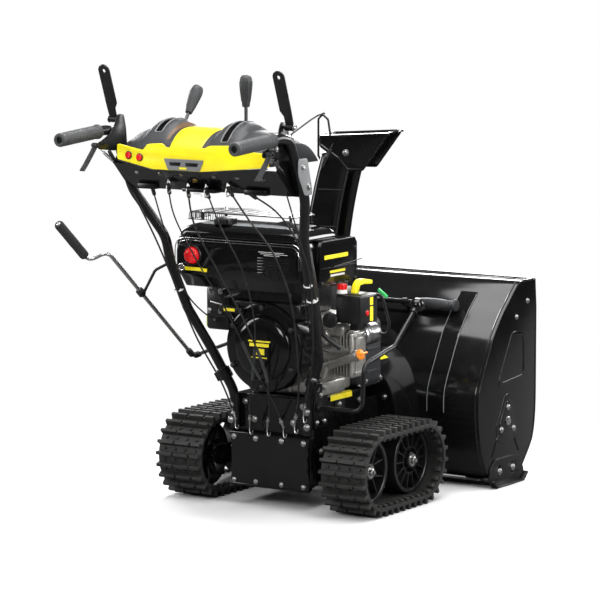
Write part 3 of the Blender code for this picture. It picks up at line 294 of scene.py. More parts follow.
class Shape:
    """Collects solids of one material into one mesh. Everything is in the row frame."""

    def __init__(self):
        self.bm = bmesh.new()

    def absorb(self, other, matrix=None):
        mesh = mesh_from(other, "part")
        if matrix is not None:
            mesh.transform(matrix)
        self.bm.from_mesh(mesh)
        bpy.data.meshes.remove(mesh)
        return self

    def turn(self, profile, foot, direction, steps=40):
        """A turned solid: (radius, height) points, joined to the axis where the radius is zero."""
        bm = bmesh.new()
        rings = []
        for radius, height in profile:
            if radius <= 1e-6:
                rings.append([bm.verts.new((0, 0, height))])
            else:
                angles = [2 * math.pi * i / steps for i in range(steps)]
                rings.append([bm.verts.new((radius * math.cos(a), radius * math.sin(a), height)) for a in
                              angles])
        for first, second in zip(rings, rings[1:]):
            for i in range(steps):
                j = (i + 1) % steps
                corners = [first[i % len(first)], first[j % len(first)], second[j % len(second)],
                           second[i % len(second)]]
                unique = list(dict.fromkeys(corners))
                if len(unique) > 2:
                    bm.faces.new(unique)
        bmesh.ops.recalc_face_normals(bm, faces=bm.faces)
        return self.absorb(bm, Matrix.Translation(Vector(foot)) @ aim(direction))

    def ring(self, profile, foot, direction, steps=40):
        """A turned solid with a hole: the profile is closed on itself."""
        return self.turn(list(profile) + [profile[0]], foot, direction, steps)

    def plug(self, profile, foot, direction, steps=40):
        """A turned solid with flat ends: the profile is joined to the axis at its first and last heights."""
        ends = [(0, profile[0][1])], [(0, profile[-1][1])]
        return self.turn(ends[0] + list(profile) + ends[1], foot, direction, steps)

    def tube(self, path, radius, sides=14, radii=None):
        """A round bar swept along a path without twisting."""
        path = [Vector(p) for p in path]
        bm = bmesh.new()
        side_way = None
        rings = []
        for i, point in enumerate(path):
            ahead = (path[min(i + 1, len(path) - 1)] - path[max(i - 1, 0)]).normalized()
            if side_way is None:
                side_way = ahead.orthogonal().normalized()
            side_way = (side_way - ahead * side_way.dot(ahead)).normalized()
            other = ahead.cross(side_way)
            r = radius if radii is None else radii[i]
            rings.append([bm.verts.new(point + r * (side_way * math.cos(a) + other * math.sin(a)))
                          for a in (2 * math.pi * k / sides for k in range(sides))])
        skin(bm, rings)
        bmesh.ops.recalc_face_normals(bm, faces=bm.faces)
        return self.absorb(bm)

    def block(self, low, high, bevel=0.002, segments=3, matrix=None):
        low, high = Vector(low), Vector(high)
        bm = bmesh.new()
        bmesh.ops.create_cube(bm, size=1.0)
        bmesh.ops.scale(bm, vec=high - low, verts=bm.verts)
        bmesh.ops.translate(bm, vec=(low + high) / 2, verts=bm.verts)
        if bevel:
            bmesh.ops.bevel(bm, geom=bm.edges[:], offset=bevel, segments=segments, profile=0.5,
                            affect="EDGES")
        return self.absorb(bm, matrix)

    def sheet(self, outlines, thickness, plane, centre, bevel=0.0006, matrix=None, rounds=1):
        """A flat plate with softened edges; the first outline is its edge and the others are holes."""
        if isinstance(outlines[0][0], (int, float)):
            outlines = [outlines]
        curve = bpy.data.curves.new("sheet", "CURVE")
        curve.dimensions = "2D"
        curve.fill_mode = "BOTH"
        curve.extrude = thickness / 2 - bevel
        if bevel:
            curve.bevel_depth = bevel
            curve.bevel_resolution = rounds
            curve.offset = -bevel
        for loop in outlines:
            spline = curve.splines.new("POLY")
            spline.points.add(len(loop) - 1)
            for point, (a, b) in zip(spline.points, loop):
                point.co = (a, b, 0.0, 1.0)
            spline.use_cyclic_u = True
        holder = placed("sheet", curve)
        bpy.context.view_layer.update()
        mesh = bpy.data.meshes.new_from_object(holder.evaluated_get(bpy.context.evaluated_depsgraph_get()))
        bpy.data.objects.remove(holder)
        bpy.data.curves.remove(curve)
        whole = Matrix.Translation(Vector(centre)) @ PLANES[plane]
        mesh.transform(whole if matrix is None else matrix @ whole)
        bm = bmesh.new()
        bm.from_mesh(mesh)
        bpy.data.meshes.remove(mesh)
        bmesh.ops.remove_doubles(bm, verts=bm.verts, dist=0.00001)
        bmesh.ops.recalc_face_normals(bm, faces=bm.faces)
        return self.absorb(bm)

    def bolt(self, at, way, size=0.006, washer=True):
        """Hexagon head on a washer, with its chamfered top."""
        way = Vector(way).normalized()
        at = Vector(at)
        if washer:
            self.plug([(size * 1.45, 0.0012), (size * 1.5, 0.0008), (size * 1.5, 0)], at, way, 24)
            at = at + way * 0.001
        self.plug([(size * 0.72, size * 0.7), (size, size * 0.52), (size, 0)], at, way, 6)
        return self

    def coil(self, start, end, radius, wire, turns, sides=6):
        """An extension spring with a hook wire at each end."""
        start, end = Vector(start), Vector(end)
        matrix = Matrix.Translation(start) @ aim(end - start)
        length = (end - start).length
        points = [Vector((0, 0, 0)), Vector((0, 0, length * 0.14))]
        steps = turns * 12
        for i in range(steps + 1):
            a = 2 * math.pi * i / 12
            points.append(Vector((radius * math.cos(a), radius * math.sin(a), length *
                                  (0.16 + 0.68 * i / steps))))
        points += [Vector((0, 0, length * 0.86)), Vector((0, 0, length))]
        return self.tube([matrix @ p for p in points], wire, sides)

    def done(self, name, look, body="chassis", replaces=(), smooth=35):
        """Makes the object, with its finish, on its body and in place of the CAD nodes that it replaces."""
        mesh = mesh_from(self.bm, name)
        made = placed(name, mesh)
        mesh.materials.append(look)
        mesh.shade_smooth()
        mesh.set_sharp_from_angle(angle=math.radians(smooth))
        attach(made, body)
        if replaces:
            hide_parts(*replaces)
        return made


PLANES = {
    "XY": Matrix.Identity(4),
    "XZ": Matrix(((1, 0, 0), (0, 0, -1), (0, 1, 0))).to_4x4(),
    "YZ": Matrix(((0, 0, 1), (1, 0, 0), (0, 1, 0))).to_4x4(),
}


def aim(direction):
    """Rotation that turns local +Z to the direction."""
    return Vector(direction).to_track_quat("Z", "Y").to_matrix().to_4x4()


def bent(points, bend, steps=8):
    """The points with each inner corner rounded to about the bend radius."""
    points = [Vector(p) for p in points]
    path = [points[0]]
    for before, corner, after in zip(points, points[1:], points[2:]):
        room = min((before - corner).length, (after - corner).length) * 0.49
        reach = min(room, bend * math.tan((corner - before).angle(after - corner) / 2))
        first = corner + (before - corner).normalized() * reach
        last = corner + (after - corner).normalized() * reach
        for i in range(steps + 1):
            t = i / steps
            path.append(first * (1 - t) ** 2 + corner * 2 * t * (1 - t) + last * t ** 2)
    path.append(points[-1])
    return path


def flow(points, steps=10):
    """A Catmull-Rom curve through the points, for cables and hoses."""
    points = [Vector(p) for p in points]
    ends = [points[0] * 2 - points[1]] + points + [points[-1] * 2 - points[-2]]
    path = []
    for a, b, c, d in zip(ends, ends[1:], ends[2:], ends[3:]):
        for i in range(steps):
            t = i / steps
            path.append(0.5 * (2 * b + (c - a) * t + (2 * a - 5 * b + 4 * c - d) * t * t
                               + (3 * b - a - 3 * c + d) * t ** 3))
    path.append(points[-1])
    return path


def spokes(count, shift=0.0):
    """Angles spread evenly round a circle."""
    return [2 * math.pi * (i + shift) / count for i in range(count)]


def arc(centre, radius, start, end, steps):
    """Points of a circle between two angles in degrees."""
    angles = np.radians(np.linspace(start, end, steps + 1))
    return [(centre[0] + radius * math.cos(a), centre[1] + radius * math.sin(a)) for a in angles]


def rounded(points, radius, steps=5):
    """A closed outline with each corner rounded."""
    out = []
    count = len(points)
    for i in range(count):
        before, corner, after = (Vector(points[(i + k) % count]) for k in (-1, 0, 1))
        room = min((before - corner).length, (after - corner).length) * 0.45
        reach = min(room, radius)
        first = corner + (before - corner).normalized() * reach
        last = corner + (after - corner).normalized() * reach
        for k in range(steps + 1):
            t = k / steps
            spot = first * (1 - t) ** 2 + corner * 2 * t * (1 - t) + last * t ** 2
            out.append((spot.x, spot.y))
    return out


def repaint(look, *names):
    """A CAD node that stays gets its detailed finish."""
    for name in names:
        for material_slot in NODES[name].material_slots:
            material_slot.material = look


# ---------------------------------------------------------------- handlebars and controls
TUBE_R = 0.0127
LEVER_PIVOT = (-0.429, 1.022)


def tube_path(s):
    """Centre line of one handlebar, from the case up to the end of its grip."""
    corners = [
        (0.113, -0.111, 0.2), (0.113, -0.111, 0.292), (0.1635, -0.137, 0.4),
        (0.196, -0.2075, 0.521), (0.211, -0.262, 0.645), (0.212, -0.283, 0.715),
        (0.262, -0.3555, 0.839), (0.264, -0.428, 0.99), (0.263, -0.47, 0.9975),
        (0.2605, -0.6635, 0.9845),
    ]
    return bent([(s * x, y, z) for x, y, z in corners], 0.12, 10)


def handlebars():
    """Both tubes with their brackets, collars and, on the left, the crank's eyelet."""
    for side, s in SIDES:
        shape = Shape().tube(tube_path(s), TUBE_R, 28)
        bracket = rounded([(-0.4, 0.95), (-0.405, 1.0), (-0.415, 1.036), (-0.442, 1.036), (-0.452, 1.012),
                           (-0.472, 0.99), (-0.498, 0.974), (-0.522, 0.972), (-0.524, 0.953),
                           (-0.455, 0.945)], 0.008, 4)
        shape.sheet(bracket, 0.0026, "YZ", (s * 0.2467, 0, 0))
        shape.sheet(rounded([(-0.402, 0.956), (-0.407, 0.998), (-0.462, 0.99), (-0.505, 0.972),
                             (-0.505, 0.956), (-0.455, 0.948)], 0.006), 0.0026, "YZ", (s * 0.2518, 0, 0))
        shape.tube([(s * 0.2455, -0.429, 1.022), (s * 0.2815, -0.429, 1.022)], 0.004, 16)
        shape.tube([(s * 0.247, -0.513, 0.9615), (s * 0.274, -0.513, 0.9615)], 0.0035, 16)
        clamp_way = Vector((s * 0.013, -0.0067, 0.028)).normalized()
        foot = Vector((s * 0.131, -0.1203, 0.3305))
        shape.plug([(0.0165, 0.03), (0.0182, 0.0285), (0.0182, 0.0015), (0.0165, 0)], foot, clamp_way, 32)
        shape.block((-0.0055, -0.026, 0.003), (0.0055, -0.014, 0.027), 0.0015, 2,
                    Matrix.Translation(foot) @ aim(clamp_way))
        replaced = ["handle_tube_" + side]
        if side == "left":
            eye = CRANK_JOINT + CRANK_WAY * 0.3055
            shape.ring([(0.0105, 0.008), (0.0105, -0.008), (0.006, -0.008), (0.006, 0.008)], eye, CRANK_WAY,
                       32)
            shape.tube(bent([eye + Vector((0.0085, 0.004, 0.003)), (-0.24, -0.29, 0.625),
                             (-0.211, -0.262, 0.645)], 0.02), 0.004, 14)
        shape.done("handlebar_tube_" + side, SATIN, "chassis", replaced)
        grip(side, s)
        paddle(s)
        trigger(side, s)
    handlebar_fixings()


def grip(side, s):
    """Ribbed rubber sleeve with its end plug."""
    front = Vector((s * 0.263, -0.47, 0.9975))
    rear = Vector((s * 0.2605, -0.6635, 0.9845))
    along = (rear - front).normalized()
    start = front + along * 0.033
    length = (rear + along * 0.003 - start).length
    radius = 0.0172
    profile = [(0.0, length - 0.012), (0.008, length - 0.012), (0.0088, length - 0.001), (0.0105, length),
               (radius - 0.003, length), (radius - 0.0008, length - 0.001), (radius, length - 0.003)]
    ribs = 22
    for i in range(ribs):
        h = length - 0.01 - i * (length - 0.03) / ribs
        profile += [(radius, h), (radius - 0.0009, h - 0.001), (radius - 0.0009, h - 0.0022),
                    (radius, h - 0.0032)]
    profile += [(radius, 0.012), (radius - 0.0012, 0.009), (radius + 0.0015, 0.005),
                (radius + 0.0015, 0.0008), (radius, 0.0), (0.013, 0.0)]
    Shape().turn(profile, start, along, 48).done("grip_sleeve_" + side, GRIP, "chassis", ["grip_" + side],
        50)
    plug = rear + along * (0.003 - 0.01)
    Shape().plug([(0.0078, 0.001), (0.0078, 0)], plug, along, 24).done("grip_end_plug_" + side, BOOT)


def paddle(s):
    """Dead man's paddle above a grip."""
    name = "auger_paddle" if s > 0 else "drive_paddle"
    y, z = LEVER_PIVOT
    lean = Matrix.Translation((0, y, z)) @ Matrix.Rotation(math.radians(20), 4, "X")
    shape = Shape().ring([(0.008, 0.024), (0.008, 0.0), (0.0045, 0.0), (0.0045, 0.024)], (s * 0.2545, y, z),
                         (s, 0, 0), 28)
    length, half = 0.15, 0.017
    outline = [(-0.011, 0.004), (0.011, 0.004), (0.012, 0.03), (half - 0.0045, 0.044)]
    outline += arc((-0.004, length - half), half, 0, 180, 18)
    outline += [(-half - 0.0035, 0.044), (-0.012, 0.03)]
    hole = arc((-0.004, length - half), 0.0045, 0, 345, 23)
    turned = [[(s * a, b) for a, b in loop] for loop in (outline, hole)]
    shape.sheet(turned, 0.0056, "XZ", (s * 0.2665, 0.0004, 0), 0.002, lean, 3)
    rib = rounded([(-0.01, 0.04), (0.006, 0.04), (0.007, 0.112), (-0.013, 0.112)], 0.006)
    rib = [(s * a, b) for a, b in rib]
    shape.sheet([rib], 0.0056, "XZ", (s * 0.2665, 0.0011, 0), 0.0016, lean, 2)
    shape.done(name + "_blade", PLASTIC, name, [name])
    fixings = Shape().bolt((s * 0.279, y, z), (s, 0, 0), 0.0062)
    fixings.tube([(s * 0.2665, y + 0.01, z - 0.002), (s * 0.2665, y + 0.014, z - 0.01)], 0.002, 10)
    fixings.done(name + "_pivot_nut", ZINC, name)


def trigger(side, s):
    """Steering trigger, a curved strip below the grip."""
    y, z = -0.513, 0.9615
    name = "trigger_" + side
    swing = Matrix.Translation((s * 0.2625, y, z)) @ Matrix.Rotation(math.radians(-43), 4, "X")
    shape = Shape().ring([(0.0065, 0.016), (0.0065, 0.0), (0.004, 0.0), (0.004, 0.016)], (s * 0.2545, y, z),
                         (s, 0, 0), 24)
    path = [swing @ Vector(p) for p in ((0, 0.001, -0.004), (0, 0.001, -0.03), (0, 0.0005, -0.06),
                                        (0, -0.001, -0.083))]
    path = flow(path, 6)
    for point, ahead in zip(path, path[1:]):
        run = ahead - point
        matrix = Matrix.Translation((point + ahead) / 2) @ Matrix.Rotation(math.atan2(run.y, -run.z), 4,
            "X")
        shape.block((-0.0078, -0.0022, -run.length * 0.56), (0.0078, 0.0022, run.length * 0.56), 0.0016, 2,
                    matrix)
    shape.done(name + "_lever", CHARCOAL, name, [name])


def handlebar_fixings():
    """Bolts, springs and clips on the upper bars."""
    bolts = Shape()
    for _, s in SIDES:
        bolts.bolt((s * 0.2535, -0.47, 0.972), (s, 0, 0), 0.0048)
        bolts.bolt((s * 0.148, -0.136, 0.35), (s * 0.9, -0.4, 0), 0.0052)
        bolts.bolt((s * 0.118, -0.1245, 0.262), BACKWARD, 0.0062)
        bolts.bolt((s * 0.118, -0.1245, 0.222), BACKWARD, 0.0062)
    for y, z in ((-0.39, 0.922), (-0.366, 0.873)):
        bolts.bolt((0.28, y, z), RIGHT, 0.0062)
    bolts.done("handlebar_bolts", ZINC)
    ear = rounded([(-0.412, 0.944), (-0.372, 0.944), (-0.35, 0.866), (-0.35, 0.852), (-0.382, 0.852),
                   (-0.412, 0.905)], 0.008)
    Shape().sheet([ear], 0.003, "YZ", (0.2785, 0, 0), 0.0009, rounds=2).done("dash_ear", TRIM)
    springs = Shape()
    for _, s in SIDES:
        springs.coil((s * 0.26, -0.414, 1.006), (s * 0.258, -0.392, 0.93), 0.0042, 0.001, 13)
        springs.coil((s * 0.256, -0.5, 0.95), (s * 0.253, -0.43, 0.905), 0.0034, 0.0009, 11)
    springs.done("return_springs", DARK_STEEL)
    ties = Shape()
    for s, y, z in ((1, -0.232, 0.572), (1, -0.2475, 0.612), (-1, -0.232, 0.572)):
        spot = Vector((s * 0.2045, y, z))
        ties.ring([(0.0146, 0.0018), (0.0146, -0.0018), (0.013, -0.0018), (0.013, 0.0018)], spot,
                  (s * 0.13, -0.36, 0.93), 24)
        ties.block(spot + Vector((0.01, -0.014, -0.003)), spot + Vector((0.0165, -0.009, 0.003)), 0.001, 2)
    ties.done("cable_ties", WHITE)


# ---------------------------------------------------------------- dash
DASH_REAR, DASH_FRONT, DASH_HALF = -0.4605, -0.25, 0.232
HUMPS = (-0.13, 0.08)


def dash_height(x, y):
    """Height of the dash's top: a crown from rear to front, falling sides and two humps."""
    t = (y - DASH_REAR) / (DASH_FRONT - DASH_REAR)
    crown = 0.957 + 0.048 * (1 - abs(2 * t - 1) ** 2.6)
    fall = 0.028 * max(0.0, (abs(x) - 0.15) / 0.082) ** 2
    raised = 0.0
    for centre in HUMPS:
        across = max(0.0, 1 - (abs(x - centre) / 0.04) ** 4)
        along = max(0.0, math.sin(math.pi * min(1.0, max(0.0, (t - 0.04) / 0.92))))
        raised = max(raised, 0.02 * across * along)
    return crown - fall + raised


def in_slot(x, y):
    """Whether a point of the dash lies in the slot of a lever gate."""
    left = abs(x - HUMPS[0]) < 0.0085 and -0.425 < y < -0.29
    right = abs(x - HUMPS[1]) < 0.0085 and -0.44 < y < -0.33
    return left or right


def dash_point(u, v, lift=0.0):
    """A point of the moulding: u across and v from rear to front, both -1 to 1; past 1 it is the skirt."""
    x = DASH_HALF * max(-1.0, min(1.0, u))
    y = (DASH_REAR + DASH_FRONT) / 2 + max(-1.0, min(1.0, v)) * (DASH_FRONT - DASH_REAR) / 2
    drop = max(0.0, abs(u) - 1.0, abs(v) - 1.0)
    return Vector((x, y, dash_height(x, y) * (1 - drop) + 0.926 * drop + lift))


def dash_top():
    """The moulded top, one sheet with a skirt and two open slots."""
    bm = bmesh.new()
    columns = sorted(set([-2.0, -1.0] + [round(-1 + 2 * i / 120, 5) for i in range(121)] + [2.0]))
    rows = sorted(set([-2.0, -1.0] + [round(-1 + 2 * i / 52, 5) for i in range(53)] + [2.0]))
    grid = {(i, j): bm.verts.new(dash_point(u, v)) for i, u in enumerate(columns) for j, v in
            enumerate(rows)}
    for i in range(len(columns) - 1):
        for j in range(len(rows) - 1):
            corners = [grid[i, j], grid[i + 1, j], grid[i + 1, j + 1], grid[i, j + 1]]
            middle = sum((v.co for v in corners), Vector()) / 4
            if not in_slot(middle.x, middle.y):
                bm.faces.new(corners)
    loose = [v for v in bm.verts if not v.link_faces]
    bmesh.ops.delete(bm, geom=loose, context="VERTS")
    bmesh.ops.remove_doubles(bm, verts=bm.verts, dist=0.00005)
    mesh = mesh_from(bm, "dash_moulding")
    made = placed("dash_moulding", mesh)
    wall = made.modifiers.new("wall", "SOLIDIFY")
    wall.thickness = 0.003
    wall.offset = -1.0
    mesh.materials.append(CHARCOAL)
    mesh.shade_smooth()
    mesh.set_sharp_from_angle(angle=math.radians(50))
    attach(made, "chassis")
    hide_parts("dash_cover")


def on_dash(x, y, lift):
    """Point above the dash at x, y."""
    return Vector((x, y, dash_height(x, y) + lift))


def dash_details():
    """Slot trims, detent marks, the yellow centre panel and the brown strip of painted shade beside it."""
    trims = Shape()
    for centre, low, high in ((HUMPS[0], -0.425, -0.29), (HUMPS[1], -0.44, -0.33)):
        loop = rounded([(centre - 0.0105, low - 0.003), (centre + 0.0105, low - 0.003),
                        (centre + 0.0105, high + 0.003), (centre - 0.0105, high + 0.003)], 0.006)
        dense = []
        for (ax, ay), (bx, by) in zip(loop, loop[1:] + loop[:1]):
            steps = max(1, int(math.dist((ax, ay), (bx, by)) / 0.004))
            dense += [(ax + (bx - ax) * i / steps, ay + (by - ay) * i / steps) for i in range(steps)]
        dense.append(dense[0])
        trims.tube([on_dash(x, y, 0.0008) for x, y in dense], 0.0016, 8)
    for i in range(7):
        y = -0.432 + i * 0.0155
        trims.tube([on_dash(HUMPS[1] + 0.0085, y, 0.0006), on_dash(HUMPS[1] + 0.019, y, 0.0006)], 0.0011, 8)
    trims.done("slot_trims", TRIM)
    centre = Shape()
    bm = bmesh.new()
    across, along = 16, 24
    grid = {}
    for j in range(along + 1):
        t = j / along
        y = -0.46 + t * 0.125
        half = 0.047 + 0.012 * t
        for i in range(across + 1):
            x = -0.026 + half * (2 * i / across - 1)
            grid[i, j] = bm.verts.new(on_dash(x, y, 0.0012 - 0.0009 *
                                              (i in (0, across) or j in (0, along))))
    for i in range(across):
        for j in range(along):
            bm.faces.new((grid[i, j], grid[i + 1, j], grid[i + 1, j + 1], grid[i, j + 1]))
    centre.absorb(bm)
    centre.done("dash_centre_panel", YELLOW)
    # Painted shade: a brown strip on the hump's flank beside the yellow panel stands in for shade in the
    # crease.
    shade = Shape()
    bm = bmesh.new()
    rows = [[bm.verts.new(on_dash(x, -0.44 + 0.15 * j / 20, 0.001)) for x in (-0.096, -0.0905, -0.087)]
            for j in range(21)]
    skin(bm, rows, closed=False, caps=False)
    shade.absorb(bm)
    shade.done("hump_painted_shade_strip", PAINTED_SHADE_BROWN)


def fascia():
    """Strip that faces the operator, with its two buttons, tab and lower edge."""
    outline = rounded([
        (-0.228, 0.926), (-0.12, 0.905), (0.03, 0.905), (0.228, 0.924), (0.228, 0.958), (0.15, 0.962),
        (0.125, 0.974), (0.052, 0.971), (0.04, 0.964), (-0.08, 0.961), (-0.089, 0.971), (-0.134, 0.968),
        (-0.149, 0.951), (-0.228, 0.965)], 0.007)
    buttons = (("heat_button_left", -0.1916, 0.937), ("heat_button_right", -0.158, 0.933))
    holes = [arc((x, z), 0.0083, 0, 345, 31) for _, x, z in buttons]
    Shape().sheet([outline] + holes, 0.006, "XZ", (0, -0.4665, 0), 0.0012, rounds=2).done(
        "fascia_strip", YELLOW, "chassis", ["dash_fascia"])
    rims = Shape()
    for name, x, z in buttons:
        rims.ring([(0.0098, 0.0008), (0.0105, 0.0), (0.0105, -0.0008), (0.0082, -0.0008), (0.0082, 0.0008)],
                  (x, -0.4699, z), BACKWARD, 32)
        profile = [(0, 0.01), (0.003, 0.01), (0.006, 0.0106), (0.0072, 0.0098), (0.0078, 0.008),
                   (0.0078, 0), (0, 0)]
        Shape().turn(profile, (x, -0.4645, z), BACKWARD, 32).done(name + "_cap", RED, name, [name])
    rims.done("button_rims", DARK_STEEL)
    tab = rounded([(-0.083, 0.934), (0.038, 0.934), (0.026, 0.906), (-0.07, 0.906)], 0.004)
    Shape().sheet([tab], 0.0022, "XZ", (0, -0.4706, 0), 0.0007).done("fascia_tab", TRIM)
    slots = Shape()
    for low, high in ((-0.066, -0.03), (-0.018, 0.022)):
        slots.sheet([rounded([(low, 0.926), (high, 0.926), (high - 0.003, 0.917), (low + 0.003, 0.917)],
                             0.002)], 0.0014, "XZ", (0, -0.4718, 0), 0.0004)
    slots.done("fascia_tab_slots", PLASTIC)
    Shape().sheet([rounded([(-0.036, 0.914), (-0.012, 0.914), (-0.014, 0.909), (-0.034, 0.909)], 0.001)],
                  0.0014, "XZ", (0, -0.4718, 0), 0.0004).done("fascia_tab_window", YELLOW)
    edge = Shape()
    edge.tube(bent([(-0.226, -0.469, 0.9235), (-0.12, -0.469, 0.903), (0.03, -0.469, 0.903),
                    (0.226, -0.469, 0.9215)], 0.02), 0.0018, 10)
    edge.done("fascia_lower_edge", PLASTIC)


def dash_underside():
    """Hooks, nuts and the cable stops that hang from the sheet below the fascia."""
    repaint(PAINT, "dash_panel")
    metal = Shape()
    for x in (-0.19, -0.12, -0.055, 0.045, 0.115, 0.19):
        metal.bolt((x, -0.435, 0.8925), (0, -0.7, 0.71), 0.0045)
    for x, z in ((-0.105, 0.868), (-0.045, 0.862), (0.01, 0.862), (0.075, 0.868)):
        metal.tube(bent([(x, -0.42, z + 0.008), (x, -0.428, z - 0.012), (x + 0.006, -0.432, z - 0.026),
                         (x + 0.014, -0.428, z - 0.018)], 0.006), 0.0019, 8)
        metal.plug([(0.0038, 0.01), (0.0038, 0)], (x, -0.4185, z + 0.004), (0, -0.2, -1), 6)
    metal.done("dash_hooks", ZINC)
    Shape().bolt((-0.02, -0.4225, 0.88), (0, -0.7, 0.71), 0.0065).done("dash_brass_nut", BRASS)
    tie = Shape().block((-0.02, -0.433, 0.844), (0.0, -0.429, 0.8475), 0.0012, 2)
    tie.tube(flow([(0.0, -0.431, 0.846), (0.008, -0.436, 0.84), (0.01, -0.438, 0.828)], 5), 0.0012, 8)
    tie.done("dash_cable_tie", WHITE)
    boxy = Shape().block((-0.06, -0.425, 0.858), (0.04, -0.395, 0.8485), 0.002, 2)
    boxy.block((-0.205, -0.415, 0.862), (-0.15, -0.388, 0.8485), 0.002, 2)
    boxy.block((0.12, -0.415, 0.862), (0.185, -0.388, 0.8485), 0.002, 2)
    boxy.done("cable_stop_rails", SATIN)


def gate_lever(name, x, y, z, lean, length, swing_body):
    """A lever through a slot of the dash, with a ridged knob."""
    tip = Vector((0, math.sin(lean), math.cos(lean)))
    pivot = Vector((x, y, z))
    foot = length - 0.08
    rod = Shape().plug([(0.008, 0.02), (0.009, 0.018), (0.009, 0.002), (0.008, 0)],
                       (x - 0.01, y, z), RIGHT, 28)
    rod.tube([pivot, pivot + tip * (foot + 0.01)], 0.0045, 18)
    rod.block((-0.0075, -0.0028, -0.002), (0.0075, 0.0028, 0.03), 0.001, 2, Matrix.Translation(pivot) @
              aim(tip))
    rod.done(name + "_shaft", DARK_STEEL, swing_body, [name])
    profile = [(0.0, 0.08), (0.006, 0.0796), (0.0105, 0.0782), (0.014, 0.0745), (0.0158, 0.069),
               (0.0161, 0.062), (0.0155, 0.052), (0.0142, 0.04), (0.0124, 0.026), (0.0108, 0.012),
               (0.01, 0.005), (0.0088, 0.0), (0.0, 0.0)]
    knob = Shape().turn(profile, pivot + tip * foot, tip, 40)
    matrix = Matrix.Translation(pivot + tip * foot) @ aim(tip)
    for a in spokes(10):
        ridge = [matrix @ Vector((r * math.cos(a), r * math.sin(a), h)) for r, h in ((0.0108, 0.014),
                 (0.0125, 0.027), (0.0142, 0.041), (0.0154, 0.054), (0.0158, 0.064))]
        knob.tube(flow(ridge, 4), 0.0011, 6)
    knob.done(name + "_knob", KNOB, swing_body)


# ---------------------------------------------------------------- chute crank
CRANK_WAY = Vector((0, -0.769, 0.64)).normalized()
CRANK_JOINT = Vector((-0.27, -0.077, 0.372))


def crank():
    """The chute's crank: plated rod, foam grip, joint boot, and the shaft with its worm thread."""
    start = CRANK_JOINT + CRANK_WAY * 0.012
    elbow = CRANK_JOINT + CRANK_WAY * 0.492
    arm_end = elbow + Vector((-0.0446, -0.02, -0.0241))
    grip_start = arm_end + CRANK_WAY * 0.022
    path = bent([start, elbow, arm_end, grip_start + CRANK_WAY * 0.02], 0.022, 12)
    Shape().tube(path, 0.005, 20).done("crank_bar", ROD, "crank_rod", ["crank_rod"])
    profile = [(0, 0.1435), (0.009, 0.143), (0.0112, 0.1405), (0.0125, 0.136), (0.0123, 0.1),
               (0.0126, 0.07), (0.0123, 0.035), (0.0125, 0.006), (0.0116, 0.0015), (0.01, 0.0), (0, 0.0)]
    Shape().turn(profile, grip_start, CRANK_WAY, 40).done("crank_foam_grip", FOAM, "crank_rod")
    cap = [(0, 0.0022), (0.0034, 0.002), (0.0052, 0.001), (0.0058, 0.0), (0, 0)]
    Shape().turn(cap, grip_start + CRANK_WAY * 0.1428, CRANK_WAY, 28).done("crank_grip_cap", ZINC,
        "crank_rod")
    joint = Shape().plug([(0.007, 0.026), (0.0085, 0.022), (0.0085, 0.004), (0.006, 0)],
                         CRANK_JOINT + CRANK_WAY * 0.004, CRANK_WAY, 24)
    joint.done("crank_joint_boot", BOOT, "crank_rod")
    worm_end = Vector((-0.1965, 0.29, 0.4315))
    along = (worm_end - CRANK_JOINT).normalized()
    shaft = Shape().tube([CRANK_JOINT + along * 0.012, worm_end], 0.0048, 20)
    shaft.plug([(0.007, 0.022), (0.0082, 0.018), (0.0082, 0.004), (0.006, 0)],
               CRANK_JOINT + along * 0.004, along, 24)
    foot = Matrix.Translation(worm_end - along * 0.042) @ aim(along)
    shaft.plug([(0.0078, 0.042), (0.0085, 0.04), (0.0085, 0.002), (0.0078, 0)],
               worm_end - along * 0.042, along, 28)
    thread = [foot @ Vector((0.0095 * math.cos(a), 0.0095 * math.sin(a), 0.004 + 0.034 * a / (8 * math.pi)))
              for a in np.linspace(0, 8 * math.pi, 120)]
    shaft.tube(thread, 0.002, 8)
    shaft.done("worm_drive_shaft", SATIN, "worm_shaft", ["worm_shaft"])


# ---------------------------------------------------------------- engine
CRANK_Z = 0.425
SHROUD_FOOT = -0.0715
BOLT_CIRCLE = 0.104
FILLER_END = Vector((0.231, -0.052, 0.4115))
FILLER_WAY = Vector((0.131, -0.005, 0.0505)).normalized()


def soft_rect(x0, x1, y0, y1, radius, steps=8):
    """Rectangle outline with rounded corners."""
    return rounded([(x0, y0), (x1, y0), (x1, y1), (x0, y1)], radius, steps)


def stack(shape, layers):
    """A closed form lofted through outlines of equal count, each at its own height: (z, outline)."""
    bm = bmesh.new()
    rings = [[bm.verts.new((x, y, z)) for x, y in outline] for z, outline in layers]
    skin(bm, rings)
    bmesh.ops.recalc_face_normals(bm, faces=bm.faces)
    return shape.absorb(bm)


